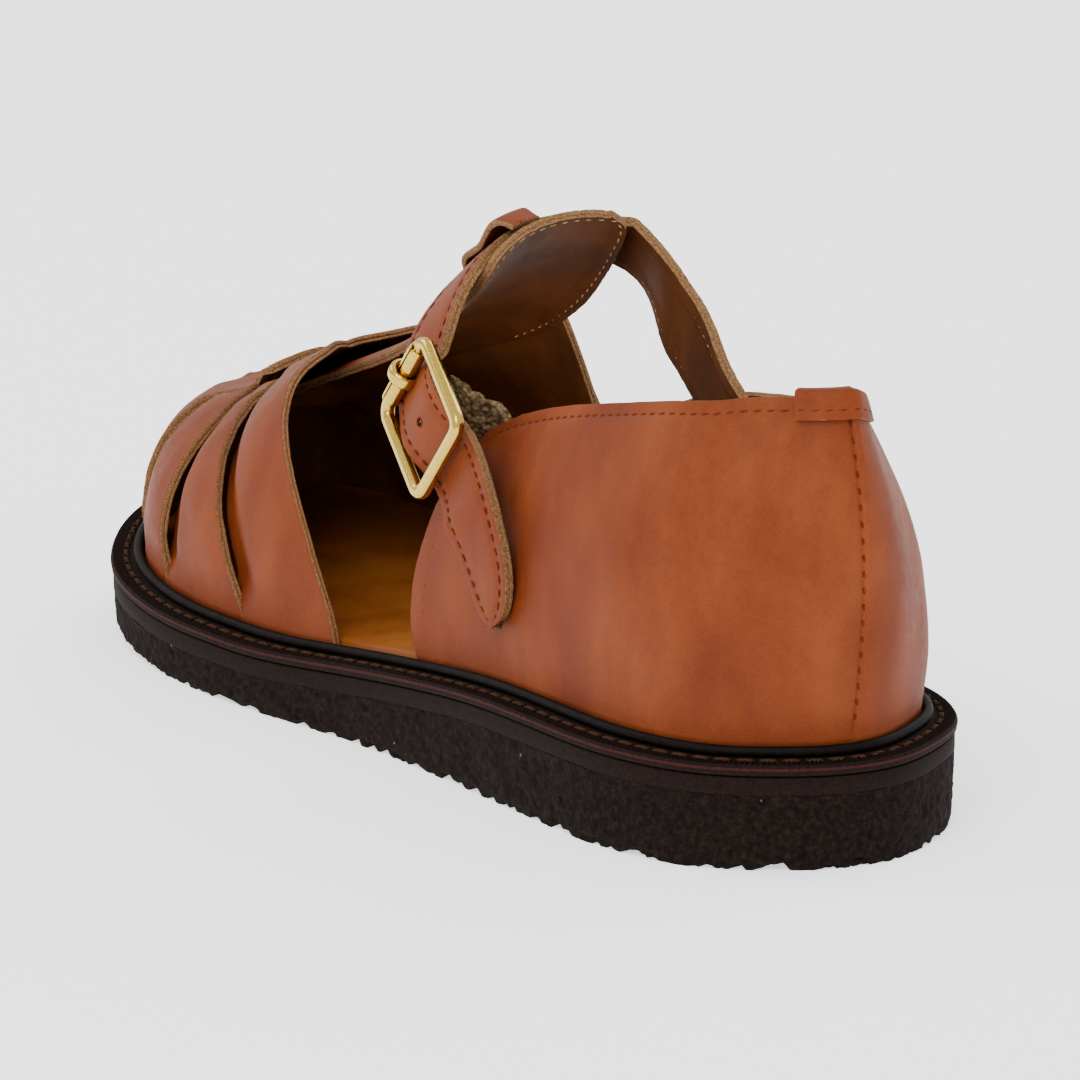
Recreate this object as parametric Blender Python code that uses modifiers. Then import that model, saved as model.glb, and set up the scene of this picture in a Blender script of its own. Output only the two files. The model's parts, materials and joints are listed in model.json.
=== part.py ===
"""Left fisherman sandal: a woven closed-toe forefoot, a T-strap that widens into a
tongue, a high heel quarter and a buckled ankle strap on a crepe wedge sole.
X runs from heel to toe, Y to the lateral side, Z up. Lengths are in millimetres
and MM turns them into metres. The origin is under the middle of the sole."""

import math

import bmesh
import bpy
from mathutils import Vector

MM = 0.001
COLLECTION = "fisherman_sandal"

# Sole
LENGTH = 280.0
BALL_HALF_WIDTH = 51.5
HEEL_HALF_WIDTH = 42.0
HEEL_HEIGHT = 23.2
FOREFOOT_HEIGHT = 15.0
TOE_SPRING = 8.1
SPRING_START = 0.70
WEDGE_START = 0.25
WEDGE_END = 0.65
WELT_THICKNESS = 2.8
MIDSOLE_THICKNESS = 4.0
INSOLE_THICKNESS = 5.0
OUTSOLE_UNDERCUT = 0.9
WELT_STEP = 0.5
JOIN_GAP = 0.3

# Upper
WALL = 2.4
WELT_WIDTH = 7.6
RAND_RADIUS = 1.5
BACK_HEIGHT = 78.0
MEDIAL_DROP = 6.5
VAMP_BULGE = 2.8
ROUNDNESS = 0.76
STRAP_STEP = 1.1
CROSSING_LIFT = 1.6
CROSSING_START = 0.76
REAR_CROSSING = 17.0
COVER_MARGIN = 4.0
TONGUE_HALF_WIDTH = 20.0
INSTEP_HEIGHT = 116.0
TONGUE_SINK = WALL - CROSSING_LIFT + 2 * JOIN_GAP

# Ankle strap and buckle
STRAP_WIDTH = 18.0
STRAP_THICKNESS = 2.6
BUCKLE_LENGTH = 25.0
BUCKLE_WIDTH = 23.0
BUCKLE_WIRE = 1.35
BUCKLE_PLAY = 0.9
PRONG_RADIUS = 0.9
ELASTIC_WIDTH = 15.0
ELASTIC_THICKNESS = 1.6

STRAP_OVER_TONGUE = 0.476
STRAP_CLEARANCE = 1.5
STRAP_INSIDE = 2.4
STRAP_SPACING = 3.2
STRAP_BOW = 3.5
BUCKLE_ALONG = 0.4246
BUCKLE_UP = 58.0
BUCKLE_OUT = -2.0
BUCKLE_FACING = (0.075, 0.984, 0.144)
BUCKLE_WAY = (-0.80, 0.15, -0.58)
STRAP_SWELL = (0.0, -2.0, 0.5)
STRAP_SWELL_FACING = (0.30, -0.93, 0.20)
KEEPER_WIDTH = 9.0
KEEPER_THICKNESS = 1.5
KEEPER_FOOT = 3.0
KEEPER_SIDE = 0.5
TAB_DEPTH = 4.6
TAB_COLUMNS = 4
TAB_THICKNESS = 1.2

# Outline of the sole: half-widths as shares of the heel's or the ball's, at angles
# that run from the back of the heel (0) to the tip of the toe (180).
OUTLINE = [
    {"at": 0, "of": "heel", "lateral": 0.00, "medial": 0.00},
    {"at": 15, "of": "heel", "lateral": 0.40, "medial": 0.38},
    {"at": 30, "of": "heel", "lateral": 0.80, "medial": 0.78},
    {"at": 45, "of": "heel", "lateral": 1.00, "medial": 0.97},
    {"at": 60, "of": "heel", "lateral": 1.04, "medial": 0.93},
    {"at": 75, "of": "heel", "lateral": 1.03, "medial": 0.84},
    {"at": 90, "of": "ball", "lateral": 0.87, "medial": 0.73},
    {"at": 105, "of": "ball", "lateral": 0.98, "medial": 0.90},
    {"at": 120, "of": "ball", "lateral": 1.00, "medial": 0.99},
    {"at": 135, "of": "ball", "lateral": 0.88, "medial": 0.94},
    {"at": 150, "of": "ball", "lateral": 0.60, "medial": 0.76},
    {"at": 165, "of": "ball", "lateral": 0.24, "medial": 0.44},
    {"at": 180, "of": "ball", "lateral": -0.08, "medial": 0.08},
]

# Straps of the forefoot, from the rear one to the toe: where their rear and front edges
# reach the ridge, where they leave the sole on each side, and how far each edge bows
# forwards on its way, all as shares of the length.
STRAPS = [
    {
        "name": "rear",
        "ridge": (0.675, 0.825),
        "lateral": (0.543, 0.645),
        "lateral_bow": (0.062, -0.006),
        "medial": (0.520, 0.655),
        "medial_bow": (-0.034, 0.000),
        "columns": 7,
    },
    {
        "name": "third",
        "ridge": (0.832, 0.862),
        "lateral": (0.655, 0.780),
        "lateral_bow": (-0.008, -0.034),
        "medial": (0.665, 0.775),
        "medial_bow": (0.000, 0.004),
        "columns": 6,
    },
    {
        "name": "second",
        "ridge": (0.868, 0.893),
        "lateral": (0.788, 0.885),
        "lateral_bow": (-0.036, -0.018),
        "medial": (0.783, 0.880),
        "medial_bow": (0.004, 0.002),
        "columns": 6,
    },
    {
        "name": "toe",
        "ridge": (0.898, 0.925),
        "lateral": (0.893, 1.000),
        "lateral_bow": (-0.018, 0.000),
        "medial": (0.888, 1.000),
        "medial_bow": (0.002, 0.000),
        "columns": 10,
    },
]

# Ridge of the last: its height over the ground as a share of the instep's height, and
# its place to the side as a share of the ball's half-width.
RIDGE = [
    {"along": 0.400, "height": 1.050, "side": 0.00},
    {"along": 0.425, "height": 1.022, "side": 0.00},
    {"along": 0.460, "height": 0.953, "side": -0.01},
    {"along": 0.520, "height": 0.855, "side": -0.04},
    {"along": 0.580, "height": 0.764, "side": -0.06},
    {"along": 0.650, "height": 0.674, "side": -0.07},
    {"along": 0.730, "height": 0.592, "side": -0.06},
    {"along": 0.800, "height": 0.524, "side": -0.05},
    {"along": 0.850, "height": 0.480, "side": -0.05},
    {"along": 0.925, "height": 0.432, "side": -0.06},
]

# T-strap and tongue: half-widths as shares of the tongue's, and the radius of its arch
# as a share of the ball's half-width.
TONGUE = [
    {"along": 0.835, "lateral": 0.55, "medial": 0.55, "arch": 0.60},
    {"along": 0.740, "lateral": 0.60, "medial": 0.58, "arch": 0.58},
    {"along": 0.660, "lateral": 0.68, "medial": 0.70, "arch": 0.60},
    {"along": 0.600, "lateral": 0.76, "medial": 0.90, "arch": 0.60},
    {"along": 0.540, "lateral": 0.90, "medial": 0.96, "arch": 0.60},
    {"along": 0.500, "lateral": 0.98, "medial": 0.92, "arch": 0.64},
    {"along": 0.465, "lateral": 1.04, "medial": 0.84, "arch": 0.72},
    {"along": 0.440, "lateral": 0.97, "medial": 0.74, "arch": 0.82},
    {"along": 0.428, "lateral": 0.70, "medial": 0.50, "arch": 0.80},
]

# Front edge of the quarters: where it stands, as a share of the length, by height.
QUARTER_FRONT = [
    {"up": 0.00, "along": 0.440},
    {"up": 0.25, "along": 0.447},
    {"up": 0.60, "along": 0.438},
    {"up": 0.85, "along": 0.420},
    {"up": 1.00, "along": 0.400},
]

# Heel's wall, from the back seam to the front edge: how far it bulges, and how far the
# topline leans in on each side, as shares of the heel's half-width.
HEEL_WALL = [
    {"along": 0.00, "bulge": 0.119, "lateral": 0.071, "medial": 0.071},
    {"along": 0.12, "bulge": 0.110, "lateral": 0.130, "medial": 0.150},
    {"along": 0.28, "bulge": 0.080, "lateral": 0.250, "medial": 0.300},
    {"along": 0.50, "bulge": 0.055, "lateral": 0.270, "medial": 0.300},
    {"along": 0.75, "bulge": 0.050, "lateral": 0.250, "medial": 0.190},
    {"along": 1.00, "bulge": 0.050, "lateral": 0.250, "medial": 0.090},
]

# Topline of the quarters: its height over the sole as a share of the back's.
TOPLINE = [
    {"along": 0.00, "height": 1.000},
    {"along": 0.15, "height": 0.995},
    {"along": 0.35, "height": 0.975},
    {"along": 0.60, "height": 0.929},
    {"along": 0.80, "height": 0.846},
    {"along": 0.92, "height": 0.778},
    {"along": 1.00, "height": 0.705},
]


def clamp(value, low=0.0, high=1.0):
    return max(low, min(high, value))


def blend(rows, at, column, key):
    """The column's value at a place between the rows, on a smooth curve through them."""
    places = [row[key] for row in rows]
    values = [row[column] for row in rows]
    if places[0] > places[-1]:
        places, values = places[::-1], values[::-1]
    if at <= places[0]:
        return values[0]
    if at >= places[-1]:
        return values[-1]
    i = max(k for k in range(len(places) - 1) if places[k] <= at)
    slopes = []
    for k in (i, i + 1):
        a, b = max(k - 1, 0), min(k + 1, len(places) - 1)
        slopes.append((values[b] - values[a]) / (places[b] - places[a]))
    span = places[i + 1] - places[i]
    t = (at - places[i]) / span
    return (
        (2 * t**3 - 3 * t**2 + 1) * values[i]
        + (t**3 - 2 * t**2 + t) * span * slopes[0]
        + (3 * t**2 - 2 * t**3) * values[i + 1]
        + (t**3 - t**2) * span * slopes[1]
    )


def outline_rows():
    """The outline once round, in degrees: lateral side up to the toe, then medial."""
    half = {"heel": HEEL_HALF_WIDTH, "ball": BALL_HALF_WIDTH}
    lateral = [{"turn": r["at"], "y": r["lateral"] * half[r["of"]]} for r in OUTLINE]
    medial = [
        {"turn": 360 - r["at"], "y": -r["medial"] * half[r["of"]]}
        for r in OUTLINE[-2:0:-1]
    ]
    ring = lateral + medial
    before = [{"turn": r["turn"] - 360, "y": r["y"]} for r in ring[-3:]]
    after = [{"turn": r["turn"] + 360, "y": r["y"]} for r in ring[:4]]
    return before + ring + after


OUTLINE_RING = outline_rows()


def outline(turn, inset=0.0):
    """Point of the sole's outline, moved inwards by the inset, and its inward normal."""

    def place(t):
        x = 0.5 * LENGTH * (1 - math.cos(math.radians(t)))
        return Vector((x, blend(OUTLINE_RING, t % 360, "y", "turn")))

    step = 1.0
    along = place(turn + step) - place(turn - step)
    inward = Vector((along.y, -along.x)).normalized()
    return place(turn) + inward * inset, inward


def turn_at(along):
    """Angle of the lateral outline point at this share of the length."""
    return math.degrees(math.acos(1 - 2 * clamp(along)))


def toe_lift(x):
    t = clamp((x / LENGTH - SPRING_START) / (1 - SPRING_START))
    return TOE_SPRING * t * t


def sole_top(x):
    """Height of the welt's top: the wedge from heel to forefoot, and the toe spring."""
    t = clamp((x / LENGTH - WEDGE_START) / (WEDGE_END - WEDGE_START))
    t = t * t * (3 - 2 * t)
    return HEEL_HEIGHT * (1 - t) + FOREFOOT_HEIGHT * t + toe_lift(x)


def upper_foot(x):
    """Height at which the walls of the upper stand on the midsole."""
    return sole_top(x) - WELT_THICKNESS + JOIN_GAP


def ridge(along):
    """Point of the ridge of the last, over the middle of the foot."""
    x = along * LENGTH
    side = blend(RIDGE, along, "side", "along") * BALL_HALF_WIDTH
    height = blend(RIDGE, along, "height", "along") * INSTEP_HEIGHT
    return Vector((x, side, height))


def new_material(name, color, roughness, metallic=0.0):
    material = bpy.data.materials.new(name)
    material.use_nodes = True
    shader = material.node_tree.nodes["Principled BSDF"]
    shader.inputs["Base Color"].default_value = (*color, 1.0)
    shader.inputs["Roughness"].default_value = roughness
    shader.inputs["Metallic"].default_value = metallic
    material.diffuse_color = (*color, 1.0)
    return material


def to_world(point):
    return Vector(((point[0] - 0.5 * LENGTH) * MM, point[1] * MM, point[2] * MM))


def add_object(name, bm, material, collection):
    mesh = bpy.data.meshes.new(name)
    bm.to_mesh(mesh)
    bm.free()
    mesh.materials.append(material)
    mesh.shade_smooth()
    mesh.set_sharp_from_angle(angle=math.radians(40))
    obj = bpy.data.objects.new(name, mesh)
    collection.objects.link(obj)
    return obj


def add_curve(name, points, radius, material, collection, cyclic=False, sides=2):
    """A round wire or bead along the points."""
    curve = bpy.data.curves.new(name, "CURVE")
    curve.dimensions = "3D"
    curve.bevel_depth = radius * MM
    curve.bevel_resolution = sides
    curve.use_fill_caps = not cyclic
    spline = curve.splines.new("POLY")
    spline.points.add(len(points) - 1)
    for slot, point in zip(spline.points, points):
        slot.co = (*to_world(point), 1.0)
    spline.use_cyclic_u = cyclic
    curve.materials.append(material)
    obj = bpy.data.objects.new(name, curve)
    collection.objects.link(obj)
    return obj


def grid_object(name, grid, thickness, material, collection, missing=()):
    """A wall: the grid's open surface is its outer side, and Solidify goes inwards."""
    bm = bmesh.new()
    seen = {}
    rows = []
    for line in grid:
        row = []
        for point in line:
            key = tuple(round(c, 4) for c in point)
            if key not in seen:
                seen[key] = bm.verts.new(to_world(point))
            row.append(seen[key])
        rows.append(row)
    for i in range(len(rows) - 1):
        for j in range(len(rows[i]) - 1):
            corners = (rows[i][j], rows[i][j + 1], rows[i + 1][j + 1], rows[i + 1][j])
            distinct = list(dict.fromkeys(corners))
            if (i, j) not in missing and len(distinct) > 2:
                bm.faces.new(distinct)
    for vert in [v for v in bm.verts if not v.link_faces]:
        bm.verts.remove(vert)
    bmesh.ops.recalc_face_normals(bm, faces=bm.faces)
    middle = sum((v.co for v in bm.verts), Vector()) / len(bm.verts)
    middle = Vector((middle.x, 0.0, 0.0))
    outward = sum(
        f.normal.dot(f.calc_center_median() - middle) * f.calc_area() for f in bm.faces
    )
    if outward < 0:
        bmesh.ops.reverse_faces(bm, faces=bm.faces)
    obj = add_object(name, bm, material, collection)
    wall = obj.modifiers.new("wall", "SOLIDIFY")
    wall.thickness = thickness * MM
    wall.offset = -1.0
    wall.use_quality_normals = True
    return obj


def slab(name, inset, bottom, top, material, collection, sides=72, bottom_inset=None):
    """A layer of the sole: its outline between two heights that follow the length."""
    if bottom_inset is None:
        bottom_inset = inset
    bm = bmesh.new()
    rings = []
    for moved_in, height in ((bottom_inset, bottom), (inset, top)):
        ring = []
        for k in range(sides):
            point = outline(360.0 * k / sides, moved_in)[0]
            ring.append(bm.verts.new(to_world((point.x, point.y, height(point.x)))))
        rings.append(ring)
    low, high = rings
    for k in range(sides):
        after = (k + 1) % sides
        bm.faces.new((low[k], low[after], high[after], high[k]))
    for ring in rings:
        for k in range(sides // 2):
            corners = (ring[k], ring[k + 1], ring[(-k - 1) % sides], ring[-k % sides])
            bm.faces.new(list(dict.fromkeys(corners)))
    bmesh.ops.recalc_face_normals(bm, faces=bm.faces)
    return add_object(name, bm, material, collection)


def band_ring(name, outer, inner, bottom, top, material, collection, sides=72):
    """A flat ring round the sole between two insets."""
    bm = bmesh.new()
    section = ((outer, bottom), (outer, top), (inner, top), (inner, bottom))
    loops = []
    for k in range(sides):
        loop = []
        for inset, height in section:
            point = outline(360.0 * k / sides, inset)[0]
            loop.append(bm.verts.new(to_world((point.x, point.y, height(point.x)))))
        loops.append(loop)
    for k in range(sides):
        here, after = loops[k], loops[(k + 1) % sides]
        for c in range(4):
            d = (c + 1) % 4
            bm.faces.new((here[c], after[c], after[d], here[d]))
    bmesh.ops.recalc_face_normals(bm, faces=bm.faces)
    return add_object(name, bm, material, collection)


def make_sole(materials, collection):
    def midsole_top(x):
        return sole_top(x) - WELT_THICKNESS

    def midsole_bottom(x):
        return midsole_top(x) - MIDSOLE_THICKNESS

    slab(
        "outsole",
        WELT_STEP,
        toe_lift,
        lambda x: midsole_bottom(x) - JOIN_GAP,
        materials["crepe"],
        collection,
        bottom_inset=OUTSOLE_UNDERCUT,
    )
    slab("midsole", WELT_STEP, midsole_bottom, midsole_top, materials["rubber"], collection)
    band_ring(
        "welt",
        0.0,
        WELT_WIDTH - JOIN_GAP,
        lambda x: midsole_top(x) + JOIN_GAP,
        sole_top,
        materials["rubber"],
        collection,
    )
    slab(
        "insole",
        WELT_WIDTH + WALL + JOIN_GAP,
        lambda x: midsole_top(x) + JOIN_GAP,
        lambda x: midsole_top(x) + JOIN_GAP + INSOLE_THICKNESS,
        materials["insole"],
        collection,
    )
    bead = []
    for k in range(80):
        point = outline(4.5 * k, WELT_WIDTH - RAND_RADIUS - JOIN_GAP)[0]
        bead.append((point.x, point.y, sole_top(point.x) + RAND_RADIUS + JOIN_GAP))
    add_curve("rand", bead, RAND_RADIUS, materials["rand"], collection, cyclic=True)


def tongue_section(along, side):
    """Half-width of the T-strap on one side, and the radius of its arch."""
    column = "lateral" if side > 0 else "medial"
    half = blend(TONGUE, along, column, "along") * TONGUE_HALF_WIDTH
    return half, blend(TONGUE, along, "arch", "along") * BALL_HALF_WIDTH


def tongue_cover(plan):
    """Height that the forefoot's wall needs at a place to clear the T-strap under it."""
    along = plan.x / LENGTH
    here = ridge(along)
    slope = ridge(along + 0.01) - ridge(along - 0.01)
    steep = math.hypot(slope.x, slope.z) / slope.x
    half, radius = tongue_section(along, plan.y - here.y)
    off = abs(plan.y - here.y)
    if off > half + COVER_MARGIN:
        return 0.0
    drop = radius - math.sqrt(radius**2 - min(off, half) ** 2)
    return here.z + (4 * JOIN_GAP + WALL - TONGUE_SINK - drop) * steep


def vamp_point(column, medial, up, lift):
    """Point of the forefoot's wall on the rib from the sole to the ridge."""
    side = "medial" if medial else "lateral"
    turn = 360.0 - column[side] if medial else column[side]
    foot, inward = outline(turn, WELT_WIDTH)
    crest = ridge(column["ridge"])
    way = Vector((crest.x, crest.y)) - foot
    across = inward * way.dot(inward)
    along = way - across
    angle = 0.5 * math.pi * up
    closing = 1 - max(math.cos(angle), 0.0) ** ROUNDNESS
    rise = math.sin(angle) ** ROUNDNESS
    bulge = VAMP_BULGE * math.sin(math.pi * up) ** 2
    bow = column[side + "_bow"] * LENGTH * math.sin(math.pi * up**1.5)
    bow += column["crossing"] * clamp((up - CROSSING_START) / (1 - CROSSING_START)) ** 2
    plan = foot + across * closing + along * up - inward * bulge + Vector((bow, 0.0))
    base = upper_foot(foot.x)
    over = ridge(plan.x / LENGTH).z
    top = crest.z + (over - crest.z) * up**4
    height = base + (top - base) * rise
    if plan.x < TONGUE[0]["along"] * LENGTH + COVER_MARGIN:
        height = max(height, tongue_cover(plan))
    facing = Vector((-inward.x * (1 - up), -inward.y * (1 - up), up)).normalized()
    return Vector((plan.x, plan.y, height)) + facing * lift


def strap_columns():
    """Columns of one side's grid. Where the strap's number changes there is a slit."""
    columns = []
    for number, strap in enumerate(STRAPS):
        count = strap["columns"]
        for k in range(count + 1):
            t = k / count
            column = {"strap": number, "step": STRAP_STEP * (1 - t)}
            column["crossing"] = REAR_CROSSING * (1 - t) if number == 0 else 0.0
            for key in ("ridge", "lateral_bow", "medial_bow"):
                column[key] = strap[key][0] * (1 - t) + strap[key][1] * t
            for key in ("lateral", "medial"):
                first, last = turn_at(strap[key][0]), turn_at(strap[key][1])
                column[key] = first * (1 - t) + last * t
            columns.append(column)
    return columns


VAMP_ROWS = [0.0, 0.07, 0.15, 0.24, 0.33, 0.42, 0.51, 0.59, 0.66, 0.72, 0.78, 0.84, 0.9, 0.95, 1.0]
FIRST_OPEN_ROW = 1
LAST_OPEN_ROW = 10
WEAVE_ROW = 11


def make_vamp(materials, collection):
    """The straps of both sides as one wall, with slits between them."""
    columns = strap_columns()
    last = len(columns) - 1
    grid = []
    for j in range(2 * last + 1):
        medial = j > last
        column = columns[2 * last - j if medial else j]
        line = []
        for row, up in enumerate(VAMP_ROWS):
            above = clamp((up - VAMP_ROWS[1]) / (VAMP_ROWS[WEAVE_ROW + 1] - VAMP_ROWS[1]))
            lift = column["step"] * math.sin(math.pi * above) ** 0.5
            if row >= WEAVE_ROW:
                lift = CROSSING_LIFT * (0.5 if column["strap"] in (1, 3) else 1.0)
            line.append(vamp_point(column, medial, up, lift))
        grid.append(line)
    missing = set()
    for j in range(2 * last):
        a = columns[j if j <= last else 2 * last - j]
        b = columns[j + 1 if j + 1 <= last else 2 * last - j - 1]
        if a["strap"] != b["strap"]:
            missing |= {(j, row) for row in range(FIRST_OPEN_ROW, LAST_OPEN_ROW)}
    return grid_object("vamp", grid, WALL, materials["leather"], collection, missing)


def quarter_point(side, share, up):
    """Point of the heel's wall. The share runs from the back seam to the front edge."""
    front = blend(QUARTER_FRONT, up, "along", "up")
    turn = turn_at(front) * share
    foot, inward = outline(turn if side > 0 else 360.0 - turn, WELT_WIDTH)
    bulge = blend(HEEL_WALL, share, "bulge", "along") * HEEL_HALF_WIDTH
    lean = blend(HEEL_WALL, share, "lateral" if side > 0 else "medial", "along")
    lean *= HEEL_HALF_WIDTH
    rand_top = (WELT_THICKNESS + 2 * RAND_RADIUS) / BACK_HEIGHT
    above = clamp((up - rand_top) / (1 - rand_top))
    shift = lean * above**2 - bulge * math.sin(math.pi * above)
    plan = foot + inward * shift
    base = upper_foot(foot.x)
    height = base + up * blend(TOPLINE, share, "height", "along") * BACK_HEIGHT
    if side < 0:
        height -= up * MEDIAL_DROP * math.sin(math.pi * share)
    return Vector((plan.x, plan.y, height))


def quarter_frame(side, share, up, outwards):
    """A place beside the heel's wall, that far outside its outer face, and the way out."""
    point = quarter_point(side, share, up)
    step = 0.02
    ahead = quarter_point(side, min(share + step, 1.0), up) - quarter_point(side, share - step, up)
    rise = quarter_point(side, share, up + step) - quarter_point(side, share, up - step)
    facing = (rise.cross(ahead) * side).normalized()
    return point + facing * outwards, facing


QUARTER_COLUMNS = 22
QUARTER_ROWS = 10


def make_quarters(materials, collection):
    grid = []
    for j in range(-QUARTER_COLUMNS, QUARTER_COLUMNS + 1):
        share = abs(j) / QUARTER_COLUMNS
        side = -1 if j < 0 else 1
        rows = range(QUARTER_ROWS + 1)
        grid.append([quarter_point(side, share, i / QUARTER_ROWS) for i in rows])
    return grid_object("quarters", grid, WALL, materials["leather"], collection)


def tongue_point(along, across):
    """Point of the T-strap and tongue: across runs from -1 at the medial edge to 1."""
    here = ridge(along)
    slope = ridge(along + 0.01) - ridge(along - 0.01)
    forward = Vector((slope.x, 0.0, slope.z)).normalized()
    facing = Vector((-forward.z, 0.0, forward.x))
    half, radius = tongue_section(along, across)
    y = half * across
    drop = radius - math.sqrt(radius**2 - y**2)
    point = here + Vector((0.0, y, 0.0)) - facing * drop
    return point, facing


def tongue_frame(along, across, outwards):
    """A place over the tongue, that far outside its outer face, and the way out."""
    point, facing = tongue_point(along, across)
    half, radius = tongue_section(along, across)
    tilt = math.asin(clamp(half * across / radius, -1.0, 1.0))
    out = (facing * math.cos(tilt) + Vector((0.0, math.sin(tilt), 0.0))).normalized()
    return point + out * (outwards - TONGUE_SINK), out


def make_tongue(materials, collection):
    first, end = TONGUE[0]["along"], TONGUE[-1]["along"]
    steps, strips = 24, 8
    grid = []
    for i in range(steps + 1):
        along = first + (end - first) * i / steps
        line = []
        for k in range(strips + 1):
            point, facing = tongue_point(along, 2 * k / strips - 1)
            line.append(point - facing * TONGUE_SINK)
        grid.append(line)
    return grid_object("instep_strap", grid, WALL, materials["leather"], collection)


def smooth_path(rows, spacing):
    """Places and directions about the spacing apart, on a curve through the rows."""
    lengths = [(b[0] - a[0]).length for a, b in zip(rows, rows[1:])]

    def slope(i, c):
        before, after = max(i - 1, 0), min(i, len(lengths) - 1)
        arriving = (rows[before + 1][c] - rows[before][c]) / lengths[before]
        leaving = (rows[after + 1][c] - rows[after][c]) / lengths[after]
        whole = lengths[before] + lengths[after]
        return (arriving * lengths[after] + leaving * lengths[before]) / whole

    spots = []
    for i, length in enumerate(lengths):
        steps = max(round(length / spacing), 1)
        for k in range(steps):
            t = k / steps
            spot = []
            for c in range(2):
                spot.append(
                    rows[i][c] * (2 * t**3 - 3 * t**2 + 1)
                    + slope(i, c) * (t**3 - 2 * t**2 + t) * length
                    + rows[i + 1][c] * (3 * t**2 - 2 * t**3)
                    + slope(i + 1, c) * (t**3 - t**2) * length
                )
            spots.append(spot)
    spots.append([rows[-1][0].copy(), rows[-1][1].copy()])
    return spots


def framed(spots):
    """Adds to each place its way along the strip and its way across."""
    frames = []
    for i, (place, facing) in enumerate(spots):
        ahead = spots[min(i + 1, len(spots) - 1)][0] - spots[max(i - 1, 0)][0]
        ahead.normalize()
        out = (facing - ahead * facing.dot(ahead)).normalized()
        frames.append({"at": place, "ahead": ahead, "out": out, "across": out.cross(ahead)})
    return frames


def strip_object(name, frames, halves, thickness, material, collection, hole=None):
    """A flat strap along the frames. A hole is (frame number, half its width)."""
    bm = bmesh.new()
    rings = []
    for i, (frame, half) in enumerate(zip(frames, halves)):
        inner = hole[1] if hole else 0.3 * half
        inner = min(inner, 0.5 * half)
        across = (-half, -inner, inner, half)
        ring = []
        for level in (0.5, -0.5):
            for w in across if level > 0 else across[::-1]:
                place = frame["at"] + frame["across"] * w + frame["out"] * level * thickness
                ring.append(bm.verts.new(to_world(place)))
        rings.append(ring)
    for i in range(len(rings) - 1):
        here, after = rings[i], rings[i + 1]
        for c in range(8):
            d = (c + 1) % 8
            if hole and i == hole[0] and c in (1, 5):
                continue
            bm.faces.new((here[c], after[c], after[d], here[d]))
    if hole:
        here, after = rings[hole[0]], rings[hole[0] + 1]
        for a, b in ((here[1], after[1]), (after[1], after[2]), (after[2], here[2]), (here[2], here[1])):
            pair = {here[1]: here[6], here[2]: here[5], after[1]: after[6], after[2]: after[5]}
            bm.faces.new((a, b, pair[b], pair[a]))
    for ring in (rings[0], rings[-1]):
        for c in range(3):
            bm.faces.new((ring[c], ring[c + 1], ring[6 - c], ring[7 - c]))
    bmesh.ops.recalc_face_normals(bm, faces=bm.faces)
    return add_object(name, bm, material, collection)


def strap_rows():
    """Rows of the ankle strap: its middle, and the way out, from the medial quarter
    over the tongue and through the buckle to the tip of its tail."""
    half = 0.5 * STRAP_THICKNESS
    inside = -(WALL + STRAP_INSIDE + half)
    over = JOIN_GAP + half
    buckle, facing = buckle_place()
    down = buckle_way(facing)
    reach = 0.5 * BUCKLE_LENGTH
    leaving = quarter_frame(-1, 0.84, 0.92, inside - 1.8)
    arriving = tongue_frame(STRAP_OVER_TONGUE, -1.0, over + 3 * STRAP_CLEARANCE)
    between = 0.5 * (leaving[0] + arriving[0]) + Vector(STRAP_SWELL)
    return [
        quarter_frame(-1, 0.70, 0.56, inside),
        leaving,
        (between, Vector(STRAP_SWELL_FACING).normalized()),
        arriving,
        *[tongue_frame(STRAP_OVER_TONGUE, 0.3 * k, over + STRAP_CLEARANCE) for k in range(-2, 3)],
        (buckle - down * reach, facing),
        (buckle + facing * STRAP_BOW, facing),
        (buckle + down * reach, facing),
        quarter_frame(1, 0.870, 0.63, over + 4.2),
        quarter_frame(1, 0.835, 0.46, over + 1.2),
        quarter_frame(1, 0.810, 0.26, over + 0.4),
    ]


def buckle_place():
    """Middle of the buckle, in front of the lateral quarter, and its way out."""
    place = Vector((BUCKLE_ALONG * LENGTH, 0.0, 0.0))
    side = outline(turn_at(BUCKLE_ALONG), WELT_WIDTH)[0].y
    place.y = side + BUCKLE_OUT
    place.z = upper_foot(place.x) + BUCKLE_UP
    return place, Vector(BUCKLE_FACING).normalized()


def buckle_way(facing):
    """The strap's way through the buckle, down and back."""
    down = Vector(BUCKLE_WAY)
    return (down - facing * down.dot(facing)).normalized()


def make_ankle_strap(materials, collection):
    frames = framed(smooth_path(strap_rows(), STRAP_SPACING))
    halves = []
    tip = frames[-1]["at"]
    for frame in frames:
        left = clamp((frame["at"] - tip).length / STRAP_WIDTH)
        halves.append(0.5 * STRAP_WIDTH * math.sqrt(clamp(1 - (1 - left) ** 2, 0.06, 1.0)))
    strip_object("ankle_strap", frames, halves, STRAP_THICKNESS, materials["leather"], collection)


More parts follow.
